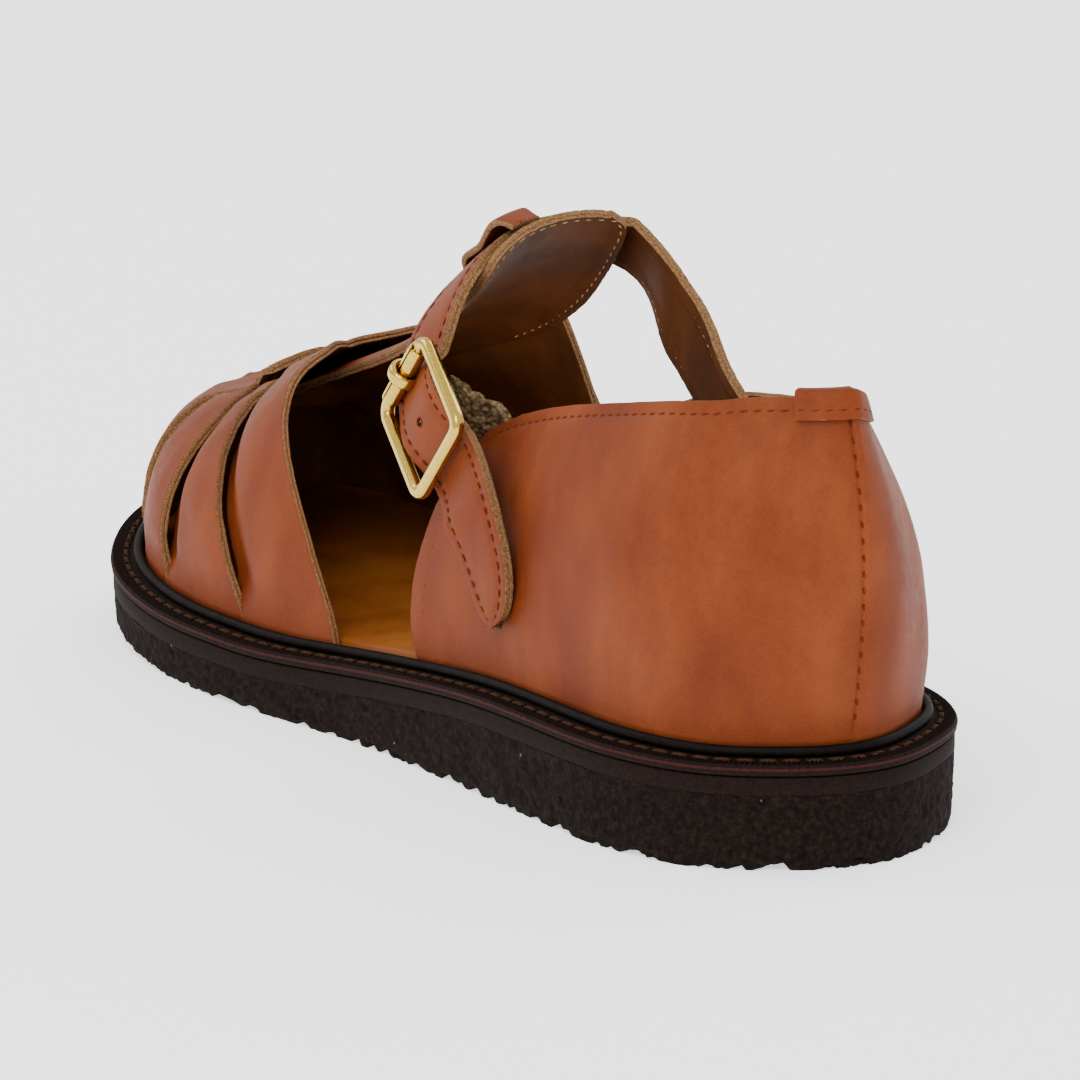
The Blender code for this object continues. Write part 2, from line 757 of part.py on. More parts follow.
def make_buckle(materials, collection):
    """A rectangular frame over the strap, with a prong round the bar nearest the toe."""
    place, facing = buckle_place()
    down = buckle_way(facing)
    across = facing.cross(down)
    level = 0.5 * STRAP_THICKNESS + JOIN_GAP + BUCKLE_WIRE + BUCKLE_PLAY
    place = place + facing * level
    corner = 2.5
    long, wide = 0.5 * BUCKLE_LENGTH, 0.5 * BUCKLE_WIDTH
    points = []
    for sx, sy, start in ((1, 1, 0), (-1, 1, 90), (-1, -1, 180), (1, -1, 270)):
        for k in range(4):
            angle = math.radians(start + 30 * k)
            u = sx * (long - corner) + corner * math.cos(angle)
            v = sy * (wide - corner) + corner * math.sin(angle)
            points.append(place + down * u + across * v)
    add_curve("buckle_frame", points, BUCKLE_WIRE, materials["brass"], collection, True, 3)
    ring = BUCKLE_WIRE + JOIN_GAP + PRONG_RADIUS
    bar = place - down * long
    hook = []
    for k in range(11):
        angle = math.radians(-75 + 18 * k)
        hook.append(bar - down * ring * math.sin(angle) + facing * ring * math.cos(angle))
    hook = hook[::-1]
    add_curve("buckle_prong", hook, PRONG_RADIUS, materials["brass"], collection)


def make_elastic(materials, collection):
    """A short elastic from the buckle's lower bar to the inside of the quarter."""
    place, facing = buckle_place()
    down = buckle_way(facing)
    half = 0.5 * ELASTIC_THICKNESS
    under = -(0.5 * STRAP_THICKNESS + JOIN_GAP + half)
    inside = -(WALL + STRAP_INSIDE + half)
    rows = [
        (place - down * 0.25 * BUCKLE_LENGTH + facing * (under - 0.4), facing),
        (place - down * 0.05 * BUCKLE_LENGTH + facing * (under - 2.4), facing),
        (place + down * 0.15 * BUCKLE_LENGTH + facing * (under - 9.5), facing),
        quarter_frame(1, 0.96, 0.84, inside - 3.0),
        quarter_frame(1, 0.84, 0.74, inside + STRAP_INSIDE - 3 * JOIN_GAP),
    ]
    frames = framed(smooth_path(rows, STRAP_SPACING))
    halves = [0.5 * ELASTIC_WIDTH] * len(frames)
    strip_object("elastic", frames, halves, ELASTIC_THICKNESS, materials["elastic"], collection)


def make_keeper(materials, collection):
    """A loop sewn on the tongue before and behind the ankle strap, which it holds down."""
    half = 0.5 * KEEPER_THICKNESS
    near = JOIN_GAP + half
    over = 2 * JOIN_GAP + STRAP_CLEARANCE + STRAP_THICKNESS + half
    edge = 0.5 * STRAP_WIDTH
    share = tongue_point(STRAP_OVER_TONGUE, 0.0)[1].z / LENGTH
    rows = []
    for away, height in (
        (edge + KEEPER_FOOT + 2.5 * KEEPER_THICKNESS, near),
        (edge + 2.5 * KEEPER_THICKNESS, near + JOIN_GAP),
        (edge + 0.8 * KEEPER_THICKNESS, over),
        (0.0, over),
        (-edge - 0.8 * KEEPER_THICKNESS, over),
        (-edge - 2.2 * KEEPER_THICKNESS, near + JOIN_GAP),
    ):
        rows.append(tongue_frame(STRAP_OVER_TONGUE + away * share, KEEPER_SIDE, height))
    frames = framed(smooth_path(rows, STRAP_SPACING))
    halves = [0.5 * KEEPER_WIDTH] * len(frames)
    strip_object("keeper", frames, halves, KEEPER_THICKNESS, materials["leather"], collection)


def make_heel_tab(materials, collection):
    """A tab folded over the topline at the back seam."""
    grid = []
    out = JOIN_GAP + TAB_THICKNESS
    inner = WALL + 3 * JOIN_GAP + TAB_THICKNESS
    for j in range(-TAB_COLUMNS, TAB_COLUMNS + 1):
        share = abs(j) / QUARTER_COLUMNS
        side = -1 if j < 0 else 1
        low = 1.0 - TAB_DEPTH / BACK_HEIGHT
        top = quarter_point(side, share, 1.0)
        facing = quarter_frame(side, share, 1.0, 0.0)[1]
        line = [
            quarter_frame(side, share, low, -inner)[0],
            top - facing * inner + Vector((0.0, 0.0, 0.5 * out)),
            top - facing * (inner - 0.5 * out) + Vector((0.0, 0.0, 1.2 * out)),
            top + facing * 0.3 * out + Vector((0.0, 0.0, 1.2 * out)),
            top + facing * out + Vector((0.0, 0.0, 0.5 * out)),
            quarter_frame(side, share, low, out)[0],
        ]
        grid.append(line)
    grid_object("heel_tab", grid, TAB_THICKNESS, materials["leather"], collection)


def main():
    for obj in list(bpy.data.objects):
        bpy.data.objects.remove(obj)
    collection = bpy.data.collections.new(COLLECTION)
    bpy.context.scene.collection.children.link(collection)
    materials = {
        "crepe": new_material("crepe rubber", (0.022, 0.014, 0.012), 0.75),
        "rubber": new_material("smooth rubber", (0.018, 0.012, 0.012), 0.5),
        "rand": new_material("black rand", (0.008, 0.008, 0.009), 0.35),
        "insole": new_material("insole leather", (0.39, 0.13, 0.013), 0.5),
        "leather": new_material("cognac leather", (0.35, 0.10, 0.04), 0.5),
        "brass": new_material("pale brass", (0.75, 0.62, 0.28), 0.2, 1.0),
        "elastic": new_material("taupe elastic", (0.16, 0.13, 0.10), 0.9),
    }
    make_sole(materials, collection)
    make_vamp(materials, collection)
    make_quarters(materials, collection)
    make_tongue(materials, collection)
    make_ankle_strap(materials, collection)
    make_buckle(materials, collection)
    make_elastic(materials, collection)
    make_keeper(materials, collection)
    make_heel_tab(materials, collection)


main()
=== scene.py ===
import json
import math

import bmesh
import bpy
from mathutils import Matrix, Vector, noise

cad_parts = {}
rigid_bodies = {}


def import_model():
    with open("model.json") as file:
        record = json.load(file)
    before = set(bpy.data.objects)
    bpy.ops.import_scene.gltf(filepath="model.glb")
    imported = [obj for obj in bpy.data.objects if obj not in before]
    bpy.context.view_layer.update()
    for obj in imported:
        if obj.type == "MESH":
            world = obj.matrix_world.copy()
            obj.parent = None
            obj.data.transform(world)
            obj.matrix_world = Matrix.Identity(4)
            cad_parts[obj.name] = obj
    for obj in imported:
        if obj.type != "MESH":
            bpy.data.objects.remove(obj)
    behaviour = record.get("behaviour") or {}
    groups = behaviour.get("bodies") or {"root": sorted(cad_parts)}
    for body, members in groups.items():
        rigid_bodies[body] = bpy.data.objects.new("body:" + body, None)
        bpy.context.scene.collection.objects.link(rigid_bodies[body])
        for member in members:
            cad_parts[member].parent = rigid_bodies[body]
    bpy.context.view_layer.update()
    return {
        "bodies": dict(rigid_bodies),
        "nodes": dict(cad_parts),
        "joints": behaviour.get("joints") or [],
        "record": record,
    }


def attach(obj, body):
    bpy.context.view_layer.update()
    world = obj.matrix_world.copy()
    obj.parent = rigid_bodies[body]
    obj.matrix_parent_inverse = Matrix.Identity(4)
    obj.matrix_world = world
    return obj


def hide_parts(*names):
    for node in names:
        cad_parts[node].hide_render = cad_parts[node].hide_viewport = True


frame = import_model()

mm = 0.001
weldGap = 1e-6

# the shoe's own measures in millimetres: x from the heel to the toe, y to the lateral side, z up
shoe = {
    "length": 280.0,
    "ballHalf": 51.5,
    "heelHalf": 42.0,
    "heelHeight": 23.2,
    "forefootHeight": 15.0,
    "toeSpring": 8.1,
    "springStart": 0.70,
    "wedgeStart": 0.25,
    "wedgeEnd": 0.65,
    "weltThick": 2.8,
    "midsoleThick": 4.0,
    "insoleThick": 5.0,
    "weltWidth": 7.6,
    "randRadius": 1.5,
    "gap": 0.3,
    "wall": 2.4,
    "instep": 116.0,
}
# angle from the heel to the toe, lateral half-width, medial half-width
outlineRows = [
    (0, 0.0, 0.0), (15, 16.8, 16.0), (30, 33.6, 32.8), (45, 42.0, 40.7), (60, 43.7, 39.1),
    (75, 43.3, 35.3), (90, 44.8, 37.6), (105, 50.5, 46.4), (120, 51.5, 51.0), (135, 45.3, 48.4),
    (150, 30.9, 39.1), (165, 12.4, 22.7), (180, -4.1, 4.1),
]
# share of the length, height of the last's ridge as a share of the instep, its place to the side
ridgeRows = [
    (0.400, 1.050, 0.00), (0.425, 1.022, 0.00), (0.460, 0.953, -0.01), (0.520, 0.855, -0.04),
    (0.580, 0.764, -0.06), (0.650, 0.674, -0.07), (0.730, 0.592, -0.06), (0.800, 0.524, -0.05),
    (0.850, 0.480, -0.05), (0.925, 0.432, -0.06),
]


def smooth(value, low=0.0, high=1.0):
    t = max(0.0, min(1.0, (value - low) / (high - low)))
    return t * t * (3 - 2 * t)


# a point at share t of a span between two points with their slopes
def hermite(a, slopeA, b, slopeB, t, span):
    return (
        a * (2 * t**3 - 3 * t**2 + 1) + slopeA * ((t**3 - 2 * t**2 + t) * span)
        + b * (3 * t**2 - 2 * t**3) + slopeB * ((t**3 - t**2) * span)
    )


# a smooth curve through rows, read at a place in their first column
def curveAt(rows, at, column):
    places = [row[0] for row in rows]
    values = [row[column] for row in rows]
    if at <= places[0]:
        return values[0]
    if at >= places[-1]:
        return values[-1]
    i = max(k for k in range(len(places) - 1) if places[k] <= at)
    slopes = []
    for k in (i, i + 1):
        a, b = max(k - 1, 0), min(k + 1, len(places) - 1)
        slopes.append((values[b] - values[a]) / (places[b] - places[a]))
    span = places[i + 1] - places[i]
    return hermite(values[i], slopes[0], values[i + 1], slopes[1], (at - places[i]) / span, span)


lateralRing = [(turn, out) for turn, out, _ in outlineRows]
medialRing = [(360 - turn, -out) for turn, _, out in outlineRows[-2:0:-1]]
wholeRing = lateralRing + medialRing
outlineRing = (
    [(turn - 360, y) for turn, y in wholeRing[-3:]]
    + wholeRing
    + [(turn + 360, y) for turn, y in wholeRing[:4]]
)


def edgePlace(turn):
    x = 0.5 * shoe["length"] * (1 - math.cos(math.radians(turn)))
    return Vector((x, curveAt(outlineRing, turn % 360, 1)))


# a point of the sole's outline, moved inwards, and the way in
def outline(turn, inset=0.0):
    along = edgePlace(turn + 1.0) - edgePlace(turn - 1.0)
    inward = Vector((along.y, -along.x)).normalized()
    return edgePlace(turn) + inward * inset, inward


def turnAt(along):
    return math.degrees(math.acos(1 - 2 * max(0.0, min(1.0, along))))


def toeLift(x):
    start = shoe["springStart"]
    t = max(0.0, (x / shoe["length"] - start) / (1 - start))
    return shoe["toeSpring"] * t * t


def soleTop(x):
    t = smooth(x / shoe["length"], shoe["wedgeStart"], shoe["wedgeEnd"])
    return shoe["heelHeight"] * (1 - t) + shoe["forefootHeight"] * t + toeLift(x)


def upperFoot(x):
    return soleTop(x) - shoe["weltThick"] + shoe["gap"]


def ridge(along):
    side = curveAt(ridgeRows, along, 2) * shoe["ballHalf"]
    return Vector((along * shoe["length"], side, curveAt(ridgeRows, along, 1) * shoe["instep"]))


def toWorld(point):
    return Vector(((point[0] - 0.5 * shoe["length"]) * mm, point[1] * mm, point[2] * mm))


# soft unevenness: a value between about minus and plus the amount
def uneven(point, size, amount, seed=0.0):
    return amount * noise.noise(Vector((point[0], point[1], point[2] + seed)) / size)


# depth of a rounded groove at a distance from an edge
def grooveAt(distance, middle, width, depth):
    return depth * math.exp(-((distance - middle) / width) ** 2)


# colours and finishes

def linearColor(code):
    channels = [int(code[i:i + 2], 16) / 255 for i in (1, 3, 5)]
    return (*[c / 12.92 if c <= 0.04045 else ((c + 0.055) / 1.055) ** 2.4 for c in channels], 1.0)


# adds one node: settings by name, inputs by socket as a value or a link, stops for a ramp
def addNode(tree, kind, inputs=None, stops=None, **settings):
    node = tree.nodes.new(kind)
    for key, value in settings.items():
        setattr(node, key, value)
    if stops:
        while len(node.color_ramp.elements) < len(stops):
            node.color_ramp.elements.new(0.5)
        for element, (place, color) in zip(node.color_ramp.elements, stops):
            element.position = place
            element.color = linearColor(color) if isinstance(color, str) else (color, color, color, 1.0)
    for key, value in (inputs or {}).items():
        if isinstance(value, bpy.types.NodeSocket):
            tree.links.new(value, node.inputs[key])
        else:
            node.inputs[key].default_value = value
    return node


def newFinish(name):
    finish = bpy.data.materials.new(name)
    finish.use_nodes = True
    tree = finish.node_tree
    shader = tree.nodes["Principled BSDF"]
    place = addNode(tree, "ShaderNodeTexCoord").outputs["Object"]
    return finish, tree, shader, place


# how many pattern repeats to the metre a size in millimetres gives
def perMetre(size):
    return 1.0 / (size * mm)


def noiseOf(tree, place, size, detail, roughness, distortion=0.0):
    return addNode(tree, "ShaderNodeTexNoise", {
        "Vector": place, "Scale": perMetre(size), "Detail": detail, "Roughness": roughness,
        "Distortion": distortion,
    }).outputs["Fac"]


def cellsOf(tree, place, size):
    cells = addNode(tree, "ShaderNodeTexVoronoi", {"Vector": place, "Scale": perMetre(size)})
    return cells.outputs["Distance"]


def rampOf(tree, value, stops):
    return addNode(tree, "ShaderNodeValToRGB", {"Fac": value}, stops=stops).outputs["Color"]


def bumpOf(tree, height, strength, depth, under=None):
    inputs = {"Height": height, "Strength": strength, "Distance": depth * mm}
    if under:
        inputs["Normal"] = under
    return addNode(tree, "ShaderNodeBump", inputs).outputs["Normal"]


def spreadOf(tree, value, low, high):
    return addNode(tree, "ShaderNodeMapRange", {
        "Value": value, "From Min": 0.3, "From Max": 0.7, "To Min": low, "To Max": high,
    }).outputs["Result"]


def mathOf(tree, operation, *values):
    return addNode(tree, "ShaderNodeMath", dict(enumerate(values)), operation=operation).outputs[0]


# settings of the shader by socket: a value or a link
def shade(tree, shader, settings):
    for key, value in settings.items():
        if isinstance(value, bpy.types.NodeSocket):
            tree.links.new(value, shader.inputs[key])
        else:
            shader.inputs[key].default_value = value


# waxed vegetable-tanned leather: large soft blotches over a fine mottle, and fine pores
def leatherFinish(name, tones, rough, blotch=16.0, grain=0.55, depth=0.05):
    finish, tree, shader, place = newFinish(name)
    stretch = addNode(tree, "ShaderNodeMapping", {"Vector": place, "Scale": (1.0, 1.0, 0.45)})
    large = noiseOf(tree, stretch.outputs["Vector"], blotch, 2.5, 0.5, 0.15)
    small = noiseOf(tree, place, 2.6, 4.0, 0.65)
    both = mathOf(tree, "MULTIPLY_ADD", small, 0.26, mathOf(tree, "MULTIPLY", large, 0.74))
    color = rampOf(tree, both, [(0.36, tones[0]), (0.50, tones[1]), (0.64, tones[2])])
    pores = cellsOf(tree, place, grain)
    shaded = addNode(tree, "ShaderNodeMix", data_type="RGBA", blend_type="MULTIPLY")
    tree.links.new(color, shaded.inputs["A"])
    tree.links.new(rampOf(tree, pores, [(0.0, 0.74), (0.45, 1.0)]), shaded.inputs["B"])
    shaded.inputs["Factor"].default_value = 1.0
    shade(tree, shader, {
        "Base Color": shaded.outputs["Result"],
        "Roughness": spreadOf(tree, small, rough - 0.06, rough + 0.08),
        "Normal": bumpOf(tree, pores, 0.5, depth, bumpOf(tree, large, 0.35, 0.5)),
        "Specular IOR Level": 0.13,
    })
    return finish


# cut, unpolished leather edge: pale fibres with no gloss
def rawEdgeFinish(name, tones):
    finish, tree, shader, place = newFinish(name)
    fibres = noiseOf(tree, place, 0.45, 3.0, 0.7)
    shade(tree, shader, {
        "Base Color": rampOf(tree, fibres, [(0.30, tones[0]), (0.52, tones[1]), (0.72, tones[2])]),
        "Normal": bumpOf(tree, fibres, 0.8, 0.2),
        "Roughness": 0.88,
        "Specular IOR Level": 0.2,
    })
    return finish


# rubber: crepe is pitted with a few pale flecks of painted glint, the moulded band is smooth
def rubberFinish(name, tones, rough, pit, depth, glintSize=0.0):
    finish, tree, shader, place = newFinish(name)
    pits = noiseOf(tree, place, pit, 5.0, 0.72)
    color = rampOf(tree, pits, [(0.36, tones[0]), (0.50, tones[1]), (0.68, tones[2])])
    # painted glints: sparse pale specks stand in for light sparkling on the crepe's surface
    if glintSize:
        paintedGlints = rampOf(tree, cellsOf(tree, place, glintSize), [(0.03, 1.0), (0.06, 0.0)])
        mixed = addNode(tree, "ShaderNodeMix", data_type="RGBA")
        tree.links.new(paintedGlints, mixed.inputs["Factor"])
        tree.links.new(color, mixed.inputs["A"])
        mixed.inputs["B"].default_value = linearColor("#8F8062")
        color = mixed.outputs["Result"]
    shade(tree, shader, {
        "Base Color": color,
        "Normal": bumpOf(tree, pits, 0.9, depth),
        "Roughness": rough,
        "Specular IOR Level": 0.08,
    })
    return finish


# pale polished brass with hairline scratches
def brassFinish(name):
    finish, tree, shader, place = newFinish(name)
    stretch = addNode(tree, "ShaderNodeMapping", {"Vector": place, "Scale": (1.0, 1.0, 9.0)})
    hairs = noiseOf(tree, stretch.outputs["Vector"], 2.0, 4.0, 0.6)
    shade(tree, shader, {
        "Base Color": rampOf(tree, hairs, [(0.35, "#BC9A40"), (0.60, "#CBAC52")]),
        "Roughness": spreadOf(tree, hairs, 0.10, 0.22),
        "Normal": bumpOf(tree, hairs, 0.10, 0.03),
        "Metallic": 1.0,
    })
    return finish


# waxed sewing thread: two tones along a fine twist
def threadFinish(name, tones):
    finish, tree, shader, place = newFinish(name)
    twist = addNode(tree, "ShaderNodeTexWave", {
        "Vector": place, "Scale": perMetre(1.2), "Distortion": 2.0, "Detail": 1.0,
    }).outputs["Fac"]
    shade(tree, shader, {
        "Base Color": rampOf(tree, twist, [(0.25, tones[0]), (0.75, tones[1])]),
        "Normal": bumpOf(tree, twist, 0.5, 0.08),
        "Roughness": 0.9,
        "Specular IOR Level": 0.1,
    })
    return finish


# looped elastic webbing: taupe yarn curls with darker gaps
def boucleFinish(name):
    finish, tree, shader, place = newFinish(name)
    curls = cellsOf(tree, place, 1.1)
    yarn = noiseOf(tree, place, 0.7, 3.0, 0.7)
    shade(tree, shader, {
        "Base Color": rampOf(tree, curls, [(0.10, "#8A7354"), (0.50, "#6A543A"), (0.85, "#3C2C1B")]),
        "Normal": bumpOf(tree, mathOf(tree, "SUBTRACT", yarn, curls), 1.0, 0.5),
        "Roughness": 0.95,
        "Specular IOR Level": 0.1,
    })
    return finish


finishes = {
    "cognac": leatherFinish("waxed cognac leather", ("#62270C", "#6D2F10", "#783817"), 0.56),
    "lining": leatherFinish(
        "brown lining leather", ("#43230B", "#4F290C", "#5C3010"), 0.65, 12.0, 0.5, 0.04,
    ),
    "honey": leatherFinish(
        "honey insole leather", ("#703A10", "#824617", "#8E5220"), 0.5, 20.0, 0.5, 0.03,
    ),
    "rawEdge": rawEdgeFinish("raw tan leather edge", ("#4A2D18", "#7C5938", "#997753")),
    "orangeFilm": rawEdgeFinish("orange bonding layer", ("#6D2C0C", "#8F4016", "#A05324")),
    # the crepe's last value sets the spacing of its painted glints
    "crepe": rubberFinish("dark crepe rubber", ("#080504", "#150D0A", "#241A15"), 0.9, 1.4, 0.5, 9.0),
    "band": rubberFinish("moulded sole band", ("#0F0806", "#170D0A", "#1F1310"), 0.8, 0.8, 0.06),
    "maroon": rubberFinish("maroon rim line", ("#260F0E", "#331513", "#3C1A17"), 0.7, 0.8, 0.05),
    "rand": rubberFinish("black satin rand", ("#070403", "#0C0705", "#120B08"), 0.6, 3.0, 0.03),
    "brass": brassFinish("pale polished brass"),
    "darkThread": threadFinish("dark brown thread", ("#4A1B0C", "#642A14")),
    "paleThread": threadFinish("pale waxed thread", ("#987744", "#BB9D6A")),
    "weltThread": threadFinish("brown welt thread", ("#1E120B", "#4A2F1C")),
    "boucle": boucleFinish("taupe looped elastic"),
    # painted shade: a near-black colour for the discs that stand in for the strap holes' shaded depth
    "holeShade": rubberFinish("painted hole shade", ("#080302", "#0E0604", "#160A06"), 0.95, 0.8, 0.02),
}
print("finishes done")


# mesh helpers

def addPiece(name, bm, materials, stands=(), crease=55):
    mesh = bpy.data.meshes.new(name)
    bm.to_mesh(mesh)
    bm.free()
    for material in materials:
        mesh.materials.append(finishes[material])
    mesh.shade_smooth()
    mesh.set_sharp_from_angle(angle=math.radians(crease))
    piece = bpy.data.objects.new(name, mesh)
    bpy.context.scene.collection.objects.link(piece)
    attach(piece, "root")
    if stands:
        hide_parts(*stands)
    print(name, len(mesh.polygons), "faces")
    return piece


# a grid whose points are moved to the places that the piece's own shape gives
def gridMesh(across, along, place):
    bm = bmesh.new()
    bm.loops.layers.uv.new("flat")
    bmesh.ops.create_grid(bm, x_segments=across, y_segments=along, size=0.5, calc_uvs=True)
    for vert in bm.verts:
        i = round((vert.co.x + 0.5) * across)
        j = round((vert.co.y + 0.5) * along)
        vert.co = toWorld(place(i, j))
    bmesh.ops.remove_doubles(bm, verts=bm.verts, dist=weldGap)
    return bm


def faceOut(bm, middle):
    bm.normal_update()
    out = sum(f.normal.dot(f.calc_center_median() - middle) * f.calc_area() for f in bm.faces)
    if out < 0:
        bmesh.ops.reverse_faces(bm, faces=bm.faces)
    bm.normal_update()


def joinMeshes(parts):
    whole = bmesh.new()
    for part in parts:
        mesh = bpy.data.meshes.new("part")
        part.to_mesh(mesh)
        part.free()
        whole.from_mesh(mesh)
        bpy.data.meshes.remove(mesh)
    return whole


shoeMiddle = Vector((0.0, 0.0, 0.030))
# finishes of a leather wall: face, back, edge and the backing layer's face
wallFinishes = ["cognac", "lining", "rawEdge", "orangeFilm"]
# layers of the forefoot straps and the tongue, as layeredWall takes them
thinLayers = [(0.0, 1.1, 0, 2, 2), (1.16, 1.9, 3, 1, 2)]
fineStitch = {"pitch": 3.0, "long": 2.1, "thick": 0.48}


# leather in layers: each row gives its depth below the face, and its face, back and edge finishes
def layeredWall(across, along, place, layers, rim=0.35, middle=shoeMiddle, fray=0.12):
    parts = []
    for top, bottom, face, back, edge in layers:
        bm = gridMesh(across, along, place)
        faceOut(bm, middle)
        facing = {vert: vert.normal.copy() for vert in bm.verts}
        for vert in bm.verts:
            vert.co -= facing[vert] * top * mm
        inward = {tuple(round(c, 8) for c in v.co): facing[v] for v in bm.verts}
        faces = list(bm.faces)
        made = bmesh.ops.extrude_face_region(bm, geom=faces, use_keep_orig=True)["geom"]
        backs = {g for g in made if isinstance(g, bmesh.types.BMFace)}
        for vert in [g for g in made if isinstance(g, bmesh.types.BMVert)]:
            vert.co -= inward[tuple(round(c, 8) for c in vert.co)] * (bottom - top) * mm
        fronts = set(faces)
        for one in bm.faces:
            one.material_index = face if one in fronts else back if one in backs else edge
        bmesh.ops.recalc_face_normals(bm, faces=bm.faces)
        rims = [e for e in bm.edges if len({f in fronts for f in e.link_faces}) > 1
                or len({f in backs for f in e.link_faces}) > 1]
        if fray:
            for vert in {v for e in rims for v in e.verts}:
                vert.co += Vector([
                    uneven(vert.co, 1.3 * mm, fray * mm, seed) for seed in (0.0, 5.0, 9.0)
                ])
        bmesh.ops.bevel(
            bm, geom=rims, offset=min(rim, 0.4 * (bottom - top)) * mm, segments=2, profile=0.5,
            affect="EDGES", material=-1, clamp_overlap=True,
        )
        parts.append(bm)
    return joinMeshes(parts)


# places a pitch apart on a path of (point, way out), with the way along it
def evenSteps(path, pitch):
    steps = []
    at = 0.5 * pitch
    for (a, outA), (b, outB) in zip(path, path[1:]):
        span = (b - a).length
        if span < weldGap:
            continue
        while at <= span:
            t = at / span
            steps.append((a.lerp(b, t), (b - a).normalized(), outA.lerp(outB, t).normalized()))
            at += pitch
        at -= span
    return steps


def addStitches(name, bm, thread):
    addPiece(name, bm, [thread], crease=180)


# sewn stitches: short lengths of thread that dip into their holes at both ends
def threadRow(bm, path, pitch=3.2, long=2.3, thick=0.75, raised=0.0, slant=0.0):
    for point, along, out in evenSteps(path, pitch):
        side = out.cross(along).normalized()
        ahead = (along + side * slant).normalized()
        side = out.cross(ahead).normalized()
        place = Matrix.Translation(toWorld(point + out * raised))
        turn = Matrix((ahead, side, out)).transposed().to_4x4()
        size = Matrix.Diagonal((0.5 * long * mm, 0.5 * thick * mm, 0.5 * thick * mm, 1.0))
        bmesh.ops.create_icosphere(bm, subdivisions=1, radius=1.0, matrix=place @ turn @ size)


# sole
soleParts = {
    "columns": 720,
    "crepeRows": 20,
    "undercut": 0.9,
    "step": 0.5,
    "chip": 1.7,
    "chipSize": 3.4,
    "pitSize": 2.2,
    "pitDepth": 0.45,
    "ribs": 460,
    "ribSteps": 6,
    "ribHeight": 0.5,
    "lockPitch": 4.8,
    "lockIn": 3.4,
    "beadShare": 0.75,
}


# a layer of the sole: a ring of rows round its outline, closed above and below
def soleLayer(columns, rows, edge, capRows=1, capRelief=None):
    ring = gridMesh(columns, rows, lambda i, j: edge(360.0 * i / columns, j))
    half = columns // 2

    def cap(level, steps):
        def place(i, j):
            turn = 180.0 * i / half
            a, b = edge(turn, level), edge(360.0 - turn, level)
            point = a.lerp(b, j / steps)
            if capRelief and 0 < j < steps and level == 0:
                point.z += capRelief(point)
            return point
        return gridMesh(half, steps, place)

    whole = joinMeshes([ring, cap(0, capRows), cap(rows, 1)])
    bmesh.ops.remove_doubles(whole, verts=whole.verts, dist=weldGap)
    bmesh.ops.recalc_face_normals(whole, faces=whole.faces)
    return whole


def addRing(name, bm, finish, stands=()):
    bmesh.ops.recalc_face_normals(bm, faces=bm.faces)
    addPiece(name, bm, [finish], stands)


def midsoleTop(x):
    return soleTop(x) - shoe["weltThick"]


def midsoleBottom(x):
    return midsoleTop(x) - shoe["midsoleThick"]


def crepeEdge(turn, row):
    level = row / soleParts["crepeRows"]
    inset = soleParts["undercut"] * (1 - level) + soleParts["step"] * level
    point, inward = outline(turn % 360, inset)
    low, high = toeLift(point.x), midsoleBottom(point.x) - 0.05
    place = Vector((point.x, point.y, low + (high - low) * level))
    pit = uneven(place, soleParts["pitSize"], soleParts["pitDepth"])
    pit += uneven(place, 0.9, 0.22, 31.0) + uneven(place, 9.0, 0.3, 7.0)
    inside = Vector((inward.x, inward.y, 0.0))
    place += inside * max(0.0, pit + 0.25)
    edgeShare = max(0.0, 1 - row / 3)
    if edgeShare:
        chip = max(0.0, uneven(place, soleParts["chipSize"], 1.6, 13.0)) * soleParts["chip"]
        chip += max(0.0, uneven(place, 1.2, 0.5, 17.0))
        place.z += chip * edgeShare
        place += inside * (0.5 * chip + 0.5) * edgeShare
    return place


def treadRelief(point):
    return 0.25 + uneven(point, 2.4, 0.5) + uneven(point, 0.9, 0.2, 3.0)


